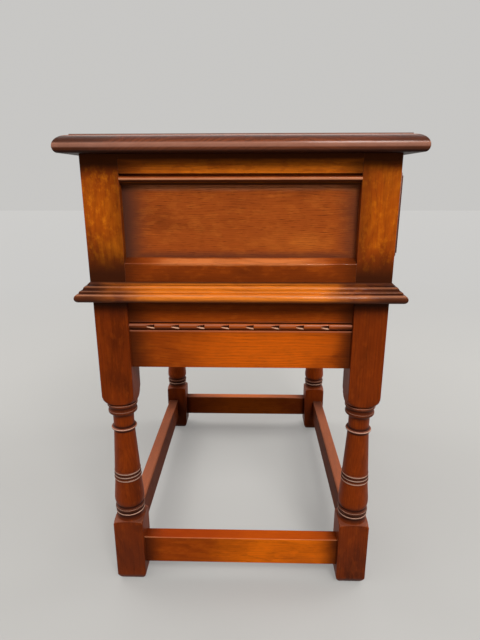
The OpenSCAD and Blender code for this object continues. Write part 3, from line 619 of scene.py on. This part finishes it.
def makeWaist(sideName):
    shape = waistShape
    side = sides[sideName]
    section = waistOutline()
    hollow = hollows(section[:-2], 5) + [0, 0]
    reach, half, middle = sideReach(side), sideSpan(side), middleOf(side)
    outline = [(reach + out, legHeight + height) for out, height in section]
    piece = strip("waist_moulding_" + sideName, side, outline,
                  lambda out: half + out - reach - shape["mitreGap"], shape["step"], hollow)
    axis = lengthAxis(side)
    # painted shade under the nose and in the step; darker ends, toner and painted shade both, and a painted
    # pool of light in the wiped middle
    wood = oak(
        "waist_oak_" + sideName, axis, 20 + side, **waistStain,
        shades=[("z", legHeight, 5, 0.9), ("z", legHeight + shape["height"], 4.5, 0.95),
                (axis, middle - half, 62, 0.97), (axis, middle + half, 62, 0.97)],
        heart=[(axis, middle - half * 0.8, middle + half * 0.8, half * 0.3)])
    fit(piece, "table", "oak_moulding", wood, "waist_" + sideName)


for sideName in sides:
    makeWaist(sideName)
print("waist moulding done")


# Legs: square blocks with a vase turned between them
legShape = {
    "footBlock": 103, "upperSquare": 134, "footBevel": 5.5, "footBevelRise": 11, "footEase": 0.4,
    "shoulderCore": 21, "cornerShare": 0.72, "footRise": 9, "squareDrop": 24,
    "ease": 1.1, "melt": 0.5, "wornGleamingArris": 0.8, "shoulderWearAndGleam": -0.34, "flareTop": 13.5,
    "flatSteps": 14, "cornerSteps": 5, "step": 1.6,
    "bellyRadius": 23, "neckRadius": 15.4, "lowRing": 23, "astragal": 19, "collar": 22.4,
    "bellyRise": 44, "bellyRound": 9, "bellyDepth": 2, "vaseDrop": 71,
    "reeds": 3, "reedRise": 80.5, "reedPitch": 5.8, "reedProud": 0.3, "reedFoot": 0.7, "reedThickness": 3.6,
}
legStain = {
    "deep": (0.062, 0.0085, 0.0015), "warm": (0.200, 0.028, 0.0024),
    "golden": (0.34, 0.057, 0.004), "shaded": (0.026, 0.0075, 0.0055),
    "gleam": (0.28, 0.14, 0.10), "gleamShare": 0.25, "gleamFrom": 0.55, "line": (0.56, 0.35, 0.26),
    "paintedTopLight": 0.2, "paintedTopLightTone": (0.28, 0.14, 0.10), "rub": 0.08, "fibre": 1.3, "goldenShare": 0.08,
    "mottle": 0.2, "specular": 0.22, "coat": 0.06, "crownCoat": 0.25,
}
turnedFrom, turnedTo = legShape["footBlock"], legHeight - legShape["upperSquare"]


def turnedOutline():
    # radius and height up the turned stretch, from the foot block to the upper square
    shape = legShape
    low, high = turnedFrom, turnedTo
    belly, neck, lowRing, collar = (shape[key] for key in ("bellyRadius", "neckRadius", "lowRing", "collar"))
    bellyHeight, vaseTop = low + shape["bellyRise"], high - shape["vaseDrop"]
    bellyCore = belly - shape["bellyDepth"]
    slant = (belly - neck) / (vaseTop - bellyHeight)
    outline = [(22.2, low - 5), (22.2, low + 8.8), (21.2, low + 10.2), (20.3, low + 12.6)]
    outline += [(19.8, low + 15.4), (19.8, low + 17)]
    outline += ring(lowRing - 3.2, lowRing - 0.6, low + 20.2, 5.4)
    outline += ring(lowRing - 2.6, lowRing - 0.2, low + 27.2, 6.8)
    outline += [(lowRing - 2.9, low + 33.2), (bellyCore, low + 34.6)]
    tangent = math.degrees(math.atan(slant * shape["bellyRound"] / 2))
    outline += arc(bellyCore, bellyHeight, shape["bellyDepth"], shape["bellyRound"], -65, tangent, 14)
    for height in reedHeights():
        vase = belly - slant * (height - bellyHeight)
        outline += ring(vase - shape["reedFoot"], vase + shape["reedProud"], height, shape["reedThickness"])
    height = low + shape["reedRise"] + 2.6 * shape["reedPitch"]
    outline += [(belly - slant * (height + 0.4 * shape["reedPitch"] - bellyHeight), height)]
    outline += [(neck + 0.2, vaseTop), (neck + 0.6, vaseTop + 0.8)]
    outline += ring(neck + 0.6, shape["astragal"], vaseTop + 3.4, 4.4)
    outline += [(neck + 0.6, vaseTop + 6), (neck, vaseTop + 9), (neck, high - 48.5)]
    outline += [(neck + 0.4, high - 46), (neck + 1.6, high - 43.4), (collar - 3, high - 42.4)]
    outline += ring(collar - 2.2, collar - 1, high - 39, 6)
    outline += [(collar - 2.4, high - 33.4)]
    outline += ring(collar - 2.2, collar, high - 28.4, 6)
    outline += [(collar - 2.2, high - 24.6), (collar - 2, high + 5)]
    return refined(outline, shape["step"])


def reedHeights():
    return [turnedFrom + legShape["reedRise"] + i * legShape["reedPitch"] for i in range(legShape["reeds"])]


def radiusAt(outline, height):
    # the turned outline's radius at a height, 0 where there is none
    for (radiusLow, low), (radiusHigh, high) in zip(outline, outline[1:]):
        if low <= height <= high and high > low:
            return radiusLow + (radiusHigh - radiusLow) * (height - low) / (high - low)
    return 0


def shoulderRadius(height):
    # the dome that rounds off the square blocks where they meet the turning
    shape = legShape
    corner, core = legSide * shape["cornerShare"], shape["shoulderCore"]
    if height <= turnedFrom or height >= turnedTo:
        return corner
    rise = (height - turnedFrom) / shape["footRise"]
    drop = (turnedTo - height) / shape["squareDrop"]
    share = min(rise, drop)
    return core + (corner - core) * math.sqrt(1 - share * share) if share < 1 else 0


def squareDirections():
    # directions round a leg, close together at the corners
    flats, turns = legShape["flatSteps"], legShape["cornerSteps"]
    corner = math.atan2(legSide / 2 - legShape["ease"], legSide / 2)
    angles = []
    for quarter in range(4):
        angles += spread(quarter * math.pi / 2 - corner, 2 * corner, flats)
        angles += spread(quarter * math.pi / 2 + corner, math.pi / 2 - 2 * corner, turns)[1:-1]
    return angles


def squareReach(angle, half):
    # distance from the middle to a square with eased corners, in a direction
    ease = legShape["ease"]
    turned = (angle + math.pi / 4) % (math.pi / 2) - math.pi / 4
    straight = half / math.cos(turned)
    if abs(math.tan(turned)) * half <= half - ease:
        return straight
    middle = (half - ease) * math.sqrt(2)
    apart = math.pi / 4 - abs(turned)
    return middle * math.cos(apart) + math.sqrt(max(0, ease ** 2 - (middle * math.sin(apart)) ** 2))


def meltedLeast(first, second, melt):
    # the smaller of two, with the arris between them rounded off
    gap = max(melt - abs(first - second), 0) / melt
    return min(first, second) - gap * gap * melt / 4


def highlightLineHeights():
    # heights between which the rings and reeds carry a painted highlight line
    low, high, vaseTop = turnedFrom, turnedTo, turnedTo - legShape["vaseDrop"]
    lines = [(low + 20.8, low + 21.8), (low + 28.1, low + 29.2), (vaseTop + 3.5, vaseTop + 4.9)]
    lines += [(high - 38.1, high - 37.3), (high - 27.5, high - 26.7)]
    return lines + [(reed - 2.4, reed + 0.7) for reed in reedHeights()]


def legHeights(outline, low, high):
    # the rows of points up a leg: close together on the bevel, the domes and the turning
    shape, bevel = legShape, legShape["footBevelRise"]
    heights = [0, 0.5, 1, 3, 6, 9, bevel - 0.6, bevel, bevel + 0.6, legHeight - 0.4, legHeight]
    heights += spread(bevel + 1, turnedFrom - bevel - 2, 8) + spread(turnedFrom, shape["footRise"], 24)
    heights += [height for radius, height in outline if low < height < high]
    heights += spread(high, shape["squareDrop"], 40) + spread(turnedTo + 3, legHeight - turnedTo - 4, 10)
    return sorted(set(round(height, 4) for height in heights))


def makeLeg(name, signX, signY, seed):
    shape = legShape
    outline = turnedOutline()
    low, high = turnedFrom + shape["footRise"], turnedTo - shape["squareDrop"]
    hollow = {}
    for (radius, height), value in zip(outline, hollows(outline, 4.5)):
        # the flare on the foot block's shoulder is rubbed as its crowns are, and takes their painted
        # highlight
        flared = height < turnedFrom + shape["flareTop"]
        hollow[round(height, 4)] = shape["shoulderWearAndGleam"] if flared else value
        # painted highlight lines on the rings and reeds
        if any(start < height < end for start, end in highlightLineHeights()):
            hollow[round(height, 4)] = highlightLine
    heights, angles = legHeights(outline, low, high), squareDirections()
    middleX, middleY = signX * (standHalf[0] - legSide / 2), signY * (standHalf[1] - legSide / 2) + tableShift
    points, values = [], []
    for height in heights:
        lathe = radiusAt(outline, height)
        square = legSide / 2
        if height < shape["footBevelRise"]:
            share = 1 - height / shape["footBevelRise"]
            square -= shape["footBevel"] * share ** 1.5
        if height < 0.5:
            square -= shape["footEase"]
        blockHere = height <= low or height >= high
        for angle in angles:
            reach = lathe
            if blockHere:
                dome, side = shoulderRadius(height), squareReach(angle, square)
                reach = max(meltedLeast(side, dome, shape["melt"]), lathe)
                # worn along the arris with a painted highlight, and on the foot block over all of the dome
                # too
                past = max(0, dome - side) if height < legHeight / 2 else abs(dome - side)
                worn = shape["shoulderWearAndGleam"] * math.exp(-(past / shape["wornGleamingArris"]) ** 2) * (reach > lathe)
            place = (middleX + math.cos(angle) * reach, middleY + math.sin(angle) * reach, height)
            points.append(Vector(place) * mm)
            values.append(worn if blockHere else hollow.get(height, 0))
    piece = makePiece("turned_" + name, points, tubeFaces(len(heights), len(angles)), values, 46)
    legFootShade = (0.45 if signY > 0 else 0.25) + (0.3 if signX > 0 else 0)      # darker at the back; the far feet take a painted shade
    # painted shade under the waist moulding, in the turnings and near the floor
    wood = oak(
        "oak_" + name, "z", seed, **legStain,
        shades=[("z", legHeight, 17, 1.5), ("z", legHeight, 36, 0.45), ("z", turnedFrom + 22, 21, 1.15),
                ("z", 40, 90, legFootShade), ("z", 0, 10, 0.5), ("z", high - 10, 18, 0.65),
                ("z", reedHeights()[1], 11, 1.0), ("z", turnedTo - 65, 8, 0.4)])
    fit(piece, "table", "oak_stand", wood, name)


for place, signY, seed in (("leg_front", -1, 40), ("leg_back", 1, 42)):
    makeLeg(place + "_left", -1, signY, seed)
    makeLeg(place + "_right", 1, signY, seed + 1)
print("legs done")


# Aprons: a board with a carved bead in a sunk band
apronShape = {
    "height": 99, "thick": 22, "setback": 4.6, "beadHeight": 9, "beadDrop": 38.2, "beadProud": 1.2,
    "bandDepth": 2.4, "quirk": 1.3, "ease": 0.6, "step": 6, "lean": 34,
    "nickPitch": 34.5, "nickMargin": 27, "nickDrift": 4, "nickLuck": 0.6, "nickLength": 11.6,
    "nickDepth": 3.5, "nickOut": 0.2, "nickCurve": 0.6, "nickStep": 0.7, "nickDark": 1.6, "nickBright": -3.4,
    "nickSlide": 2.3, "nickUp": 6.2, "nickDown": 2.7,
}
apronStain = {
    "wiped": (0.70, 0.120, 0.004), "gleam": (0.46, 0.17, 0.10), "gleamShare": 0.65,
    "gleamFrom": 0.06, "gleamTo": 0.8, "goldenShare": 0.25, "coat": 0.03, "specular": 0.3,
    "grooveShade": 1.2, "under": 0.8,
}


def apronOutline():
    shape = apronShape
    top, bottom = shape["beadDrop"], shape["beadDrop"] - shape["height"]
    band, crown = shape["beadHeight"] / 2 + shape["quirk"], shape["bandDepth"] + shape["beadProud"]
    ease, depth, thick = shape["ease"], shape["bandDepth"], shape["thick"]
    outline = [(-thick, bottom), (-ease, bottom)] + arc(-ease, bottom + ease, ease, ease, -60, 0, 3)
    outline += [(0, bottom + 8), (0, bottom + 24), (0, bottom + 40), (0, -band - 4), (0, -band - ease)]
    outline += [(-ease * 0.3, -band - ease * 0.3), (-ease, -band), (-depth, -band)]
    outline += arc(-depth, 0, crown, shape["beadHeight"] / 2, -90, 90, 28)
    outline += [(-depth, band), (-ease, band), (-ease * 0.3, band + ease * 0.3), (0, band + ease)]
    return outline + [(0, band + 4), (0, band + 16), (0, top), (-thick, top)]


def makeApron(sideName):
    side = sides[sideName]
    shape = apronShape
    half, middle = sideSpan(side) - legSide, middleOf(side)
    face = sideReach(side) - shape["setback"]
    beadMiddle = legHeight - shape["beadDrop"]
    count = math.floor((2 * half - 2 * shape["nickMargin"]) / shape["nickPitch"])
    middles = [(i - count / 2) * shape["nickPitch"] - shape["nickDrift"] for i in range(count + 1)]
    section = apronOutline()
    chance = random.Random(60 + side)
    lucks = [chance.uniform(-shape["nickLuck"], shape["nickLuck"]) for nickMiddle in middles]
    length, crownOut = shape["nickLength"], shape["beadProud"] + shape["nickOut"]

    def carve(along, out, height):
        # a gouge cut: its valley slides down as it deepens, with a painted shade on the cheek above it and a
        # bare one below, pale with a painted highlight
        for nickMiddle, luck in zip(middles, lucks):
            share = (along - nickMiddle - luck + length / 2) / length
            if 0 < share <= 1.0001:
                swell = share ** shape["nickCurve"]
                past = height - beadMiddle + shape["nickSlide"] * share
                cheek = swell * (shape["nickUp"] if past > 0 else shape["nickDown"])
                if abs(past) < cheek and abs(height - beadMiddle) < shape["beadHeight"] / 2:
                    floor = crownOut - swell * (crownOut + shape["nickDepth"] - shape["beadProud"])
                    cut = floor + (crownOut - floor) * abs(past) / cheek
                    if cut < out - face:
                        return face + cut, shape["nickDark"] if past > 0 else shape["nickBright"]
        return out, 0

    places = [-half + i * shape["step"] for i in range(int(2 * half / shape["step"]) + 1)] + [half]
    for nickMiddle, luck in zip(middles, lucks):
        start = nickMiddle + luck - length / 2
        places = [place for place in places if not start - 1 < place < start + length + 1]
        places += spread(start, length, round(length / shape["nickStep"])) + [start + length + 0.3]
    columns = [place / half for place in sorted(places)]
    outline = [(face + out, beadMiddle + height) for out, height in section]
    hollow = [0] + hollows(section[1:-1], 4) + [0]
    piece = strip("carved_apron_" + sideName, side, outline, lambda out: half, shape["step"], hollow,
                  carve, columns)
    axis, ends = lengthAxis(side), betweenLegs(side)
    # painted shadow under the waist moulding and painted shade below the bead; darker ends, toner and painted
    # shade both; the wiped middle holds a painted pool of light, leaned towards the lit side on the near end
    reach, lean = half * 0.92, shape["lean"] if side == nearSide else 0
    wood = oak(
        "apron_oak_" + sideName, axis, 70 + side, **apronStain,
        shades=[("z", legHeight, 12, 1.3), ("z", beadMiddle - shape["beadHeight"] / 2 - 2, 9, 0.25),
                (axis, ends[0], 32, 0.85), (axis, ends[1], 44, 0.85)],
        heart=[(axis, middle - reach - lean, middle + reach - lean, half * 0.7),
               ("z", legHeight - shape["height"] - 30, beadMiddle + 20, 36)])
    fit(piece, "table", "oak_stand", wood, "apron_" + sideName)


for sideName in sides:
    makeApron(sideName)
print("aprons done")


# Stretchers: the long ones are stained darker than the short ones; all of them take a painted shade on the
# inner side, and the long ones at the far end
stretcherStain = {
    "wiped": (0.24, 0.040, 0.004), "gleam": (0.34, 0.15, 0.095), "paintedTopLight": 0.4,
    "goldenShare": 0.3, "coat": 0.02, "crownCoat": 0.15, "coatRough": 0.14, "specular": 0.05,
}
shortStain = dict(stretcherStain, wiped=(0.74, 0.145, 0.004))
# the near stretcher has a darker painted tone on its top and a brighter painted highlight on its arris
nearStain = dict(shortStain, gleam=(0.85, 0.38, 0.19), paintedTopLight=0.75, paintedTopLightTone=(0.27, 0.032, 0.003))
for sideName, side in sides.items():
    node = "stretcher_" + sideName
    axis, innerAxis, ends = lengthAxis(side), lengthAxis(side + 1), betweenLegs(side)
    inner = boxOf(node)[0 if side in (1, 2) else 1]["xyz".index(innerAxis)]
    stain = nearStain if side == nearSide else shortStain if side % 2 else stretcherStain
    # the wiped middle holds a painted pool of light, leaned towards the lit side on the near stretcher
    lean = 65 if side == nearSide else 0
    board(node, axis, 90 + side, stain, "oak_stand", width=0.9,
          shades=[(axis, ends[0], 36, 0.85), (axis, ends[1], 36 if side % 2 else 110, 0.85),
                  (innerAxis, inner, 5, 0.62)],
          heart=[(axis, ends[0] - lean, ends[1] - lean, 130)])
print("stretchers done")


# Case: frames and panels
stileStain = {
    "wiped": (0.43, 0.078, 0.003), "golden": (0.68, 0.175, 0.006), "goldenShare": 0.45,
    "mottle": 0.9, "blotch": (0.08, 0.11), "blotchEdge": (0.46, 0.72),
}
railStain = {"wiped": (0.50, 0.100, 0.006), "goldenShare": 0.5, "mottle": 0.5}
sillStain = {"wiped": (0.60, 0.175, 0.045), "goldenShare": 0.3, "mottle": 0.4, "gleamShare": 0.35}
# the panels' shaded colour is greyish: painted shade with a painted reflection in it
panelStain = {
    "deep": (0.20, 0.036, 0.005), "warm": (0.37, 0.071, 0.009), "golden": (0.56, 0.140, 0.016),
    "wiped": (0.60, 0.19, 0.07), "shaded": (0.070, 0.025, 0.017), "goldenShare": 0.25,
    "ringPitch": 2.6, "ringStrength": 0.25, "mottle": 0.35, "coat": 0.2, "coatRough": 0.26,
    "poreStrength": 0.85, "fibre": 1.3,
}
endStiles = {
    "front": {"seed": 5, "mottle": 0.55, "topShade": 26, "footShade": 52},
    "back": {"seed": 4, "mottle": 0.9, "topShade": 38, "footShade": 84},
}
sillFall = 8
for first, endName in ((110, "left_end"), (120, "right_end")):
    railTop = boxOf(endName + "_top_rail")[0].z
    railFoot = boxOf(endName + "_bottom_rail")[1].z
    inner = [boxOf(endName + "_front_stile")[1].y, boxOf(endName + "_back_stile")[0].y]
    for (place, own), edge in zip(endStiles.items(), inner):
        # painted shadow under the top, darker towards the foot and along the panel; the wiped middle holds a
        # painted pool of light
        board(endName + "_" + place + "_stile", "z", first + own["seed"], stileStain, mottle=own["mottle"],
              shades=[("z", topLow.z, own["topShade"], 1.35), ("z", caseFoot, own["footShade"], 1.05),
                      ("y", edge, 24, 0.5)],
              heart=[("z", caseFoot + 25, topLow.z - 10, 60)])
    ends = [("y", end, 40, 0.75) for end in inner]
    # painted shadow under the top and painted shade below the bead, with a painted pool of light between;
    # darker ends
    board(endName + "_top_rail", "y", first + 7, railStain, wiped=(0.82, 0.195, 0.010),
          shades=[("z", topLow.z, 15, 1.45), ("z", railTop, 6.5, 1.5)] + ends,
          heart=[("z", railTop - 6, topLow.z, 6)])
    # the sloping sill is painted pale, a painted highlight where it faces up
    board(endName + "_bottom_rail", "y", first + 10, sillStain,
          shades=[("z", caseFoot, 30, 0.5), ("y", inner[0], 60, 0.6), ("y", inner[1], 60, 0.6)] + ends,
          heart=[("z", railFoot - sillFall - 2.5, railFoot, 2.5), ("y", inner[0] + 14, inner[1] - 14, 60)])
    # painted shade above the bottom rail and along the stiles, and a painted pool of light under the bead
    board(endName + "_panel", "y", first + 8, panelStain, "oak_panel",
          shades=[("z", railFoot, 13, 0.75), ("y", inner[0], 34, 0.7), ("y", inner[1], 40, 1.0)],
          heart=[("z", railTop - 9, railTop + 9, 6)])

# Round bead under an end's top rail
beadShape = {"step": 14, "valley": 0.9, "crown": 1.8}
beadStain = {
    "gleam": (0.70, 0.30, 0.15), "gleamFrom": -0.42, "gleamTo": 0.4, "under": 0.9,
    "goldenShare": 0.4, "crownCoat": 0.1, "coatRough": 0.16,
}


def makeBead(endName, side):
    shape = beadShape
    low, high = boxOf(endName + "_bead")
    half = (high.y - low.y) / 2
    middle = (low.z + high.z) / 2
    radius = (high.z - low.z) / 2
    outMost = high.x if side == 1 else -low.x
    outLeast = low.x if side == 1 else -high.x
    nose = arc(outMost - radius, 0, radius, radius, -90, 90, 22)
    section = [(outLeast, -radius)] + nose + [(outLeast, radius)]
    outline = [(out, middle + height) for out, height in section]
    # the bead's top and bottom take painted shade, its crown a painted highlight
    slopes = [math.cos(math.asin(height / radius)) for out, height in nose]
    crowns = [shape["valley"] - shape["crown"] * slope for slope in slopes]
    piece = strip("round_bead_" + endName, side, outline, lambda out: half, shape["step"], [1] + crowns + [1])
    wood = oak("oak_" + endName + "_bead", "y", 140 + side, **beadStain,
               shades=[("z", middle + radius, 2.2, 1.0), ("z", middle - radius, 3.2, 1.15)])
    fit(piece, "table", "oak_moulding", wood, endName + "_bead")


makeBead("left_end", 3)
makeBead("right_end", 1)

# painted shadow under the top, darker towards the foot and the ends, and a painted pool of light in the wiped
# middles
for seed, place in enumerate(("back_left", "back_right", "front_left", "front_right")):
    board(place + "_stile", "z", 150 + seed, stileStain,
          shades=[("z", topLow.z, 30, 1.2), ("z", caseFoot, 40, 0.8)],
          heart=[("z", caseFoot + 20, topLow.z - 10, 60)])
for seed, node in enumerate(("back_top_rail", "back_bottom_rail", "front_top_rail", "front_bottom_rail")):
    low, high = boxOf(node)
    board(node, "x", 160 + seed, railStain,
          shades=[("z", topLow.z, 11.5, 1.5), ("z", caseFoot, 20, 0.6),
                  ("x", low.x, 44, 0.7), ("x", high.x, 44, 0.7)],
          heart=[("x", low.x + 20, high.x - 20, 90)])
backTop, backFoot = boxOf("back_top_rail")[0].z, boxOf("back_bottom_rail")[1].z
low, high = boxOf("back_panel")
board("back_panel", "x", 170, panelStain, "oak_panel",
      shades=[("z", backTop, 8, 0.8), ("z", backFoot, 13, 0.75),
              ("x", low.x, 44, 0.9), ("x", high.x, 44, 0.9)])
print("case done")


# Drawer, and the plain oak inside that never saw stain
drawerStain = {
    "golden": (0.62, 0.155, 0.006), "wiped": (0.50, 0.090, 0.004), "goldenShare": 0.45,
    "mottle": 0.6, "blotch": (0.03, 0.11), "blotchEdge": (0.46, 0.72), "coat": 0.12, "fibre": 1.3,
    "poreStrength": 0.7, "ringStrength": 0.25,
}
insideStain = {
    "deep": (0.28, 0.16, 0.075), "warm": (0.46, 0.29, 0.14), "golden": (0.56, 0.38, 0.20),
    "shaded": (0.12, 0.07, 0.035), "pore": (0.16, 0.085, 0.04), "glow": (1, 1, 1),
    "coat": 0.0, "rough": 0.62, "specular": 0.3,
}
insideBoards = (
    ("drawer_side_left", "drawer", "y"), ("drawer_side_right", "drawer", "y"),
    ("drawer_back", "drawer", "x"), ("drawer_bottom", "drawer", "x"), ("case_floor", "table", "x"),
    ("drawer_runner_left", "table", "y"), ("drawer_runner_right", "table", "y"),
    ("drawer_kickers", "table", "y"), ("stand_cleats", "table", "x"),
)
low, high = boxOf("drawer_front")
board("drawer_front", "x", 180, drawerStain, body="drawer", width=0.4,
      shades=[("z", low.z, 22, 0.75), ("z", high.z, 22, 0.75),
              ("x", low.x, 60, 0.8), ("x", high.x, 60, 0.8)],
      heart=[("x", low.x + 20, high.x - 20, 110)])
for seed, (node, body, grain) in enumerate(insideBoards):
    board(node, grain, 190 + seed, insideStain, "oak_inside", body, 0.4, "plain_")
print("drawer and inside done")


# Handles and screws keep the frame's own shapes
for name, look in metals.items():
    made = metal(name, look)
    for node in look["nodes"]:
        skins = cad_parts[node].data.materials
        skins.clear()
        skins.append(made)
print("metal done")


# Studio: a pale floor, three lamps, and a pale world with a soft ring of light high up, as a ceiling gives
studio = {
    "floor": (0.24, 0.235, 0.225), "floorHalf": 9, "floorFades": (0.5, 2.6), "floorGlow": 0.36,
    "world": (0.80, 0.79, 0.77), "fillStrength": 0.16, "seenStrength": 0.72,
    "ring": ((0, 0), (0.58, 0), (0.70, 1), (0.79, 1), (0.84, 0.15)), "ringStrength": 4.4,
}
softboxes = (      # name, place, aim, side in metres, watts
    ("key_softbox", (-1.8, -0.6, 2.0), (-0.2, 0, 0.4), 0.6, 30),
    ("front_softbox", (0.7, -2.2, 1.5), (0, 0, 0.4), 1.0, 20),
    ("back_softbox", (0.9, 2.0, 1.7), (0, 0, 0.4), 1.0, 14),
)


def makeFloor():
    half = studio["floorHalf"]
    corners = [(-half, -half, 0), (half, -half, 0), (half, half, 0), (-half, half, 0)]
    floor = makePiece("pale_floor", corners, [(0, 1, 2, 3)])
    paint = newPaint("pale_floor", {
        "Roughness": 0.85, "Specular IOR Level": 0.1, "Emission Strength": studio["seenStrength"]})
    table = paint.spot()
    cloud = paint.noise([value * 0.004 for value in table], 3.0)
    pale, black, glow = studio["floor"], (0, 0, 0), studio["floorGlow"]
    away = (table[0] ** 2 + table[1] ** 2) ** 0.5
    far = paint.rise(away, *[reach / mm for reach in studio["floorFades"]])
    near = paint.mix(cloud * 0.25, pale, tuple(value * 0.9 for value in pale))
    floor.data.materials.append(paint.surface(**{
        "Base Color": paint.mix(far, near, black),
        "Emission Color": paint.mix((glow + (1 - glow) * far) * paint.seen(), black, studio["world"]),
    }))


def makeWorld():
    world = bpy.data.worlds.new("studio")
    scene.world = world
    paint = Paint(world, "Background", {"Color": studio["world"]})
    fill, shown = studio["fillStrength"], studio["seenStrength"]
    height = paint.node("SeparateXYZ", {}, {0: paint.node("TexCoord", {}, {})}, out="Z")
    ringLight = paint.node("ValToRGB", {"stops": studio["ring"]}, {0: height})
    paint.surface(Strength=ringLight * studio["ringStrength"] + (fill + (shown - fill) * paint.seen()))


def makeSoftbox(name, place, aim, side, watts):
    lamp = bpy.data.lights.new(name, "AREA")
    lamp.size = side
    lamp.energy = watts
    light = bpy.data.objects.new(name, lamp)
    light.location = place
    light.rotation_euler = (Vector(aim) - Vector(place)).to_track_quat("-Z", "Y").to_euler()
    scene.collection.objects.link(light)


makeFloor()
makeWorld()
for softbox in softboxes:
    makeSoftbox(*softbox)

# Camera at the photograph's viewpoint, close to the left end and a little above the top
cameraSetting = {
    "place": (-0.8994, -0.0094, 0.6295), "forward": (0.9585, 0.0251, -0.2840), "roll": -0.0018,
    "lens": 26.95,
}


def makeCamera():
    data = bpy.data.cameras.new("camera")
    data.lens = cameraSetting["lens"]
    camera = bpy.data.objects.new("camera", data)
    forward = Vector(cameraSetting["forward"]).normalized()
    right = forward.cross(Vector((0, 0, 1))).normalized()
    up = right.cross(forward)
    facing = Matrix((right, up, -forward)).transposed()
    facing = facing @ Matrix.Rotation(cameraSetting["roll"], 3, "Z")
    camera.matrix_world = Matrix.Translation(cameraSetting["place"]) @ facing.to_4x4()
    scene.collection.objects.link(camera)
    scene.camera = camera


makeCamera()
scene.view_settings.view_transform = "Standard"
print("studio ready")
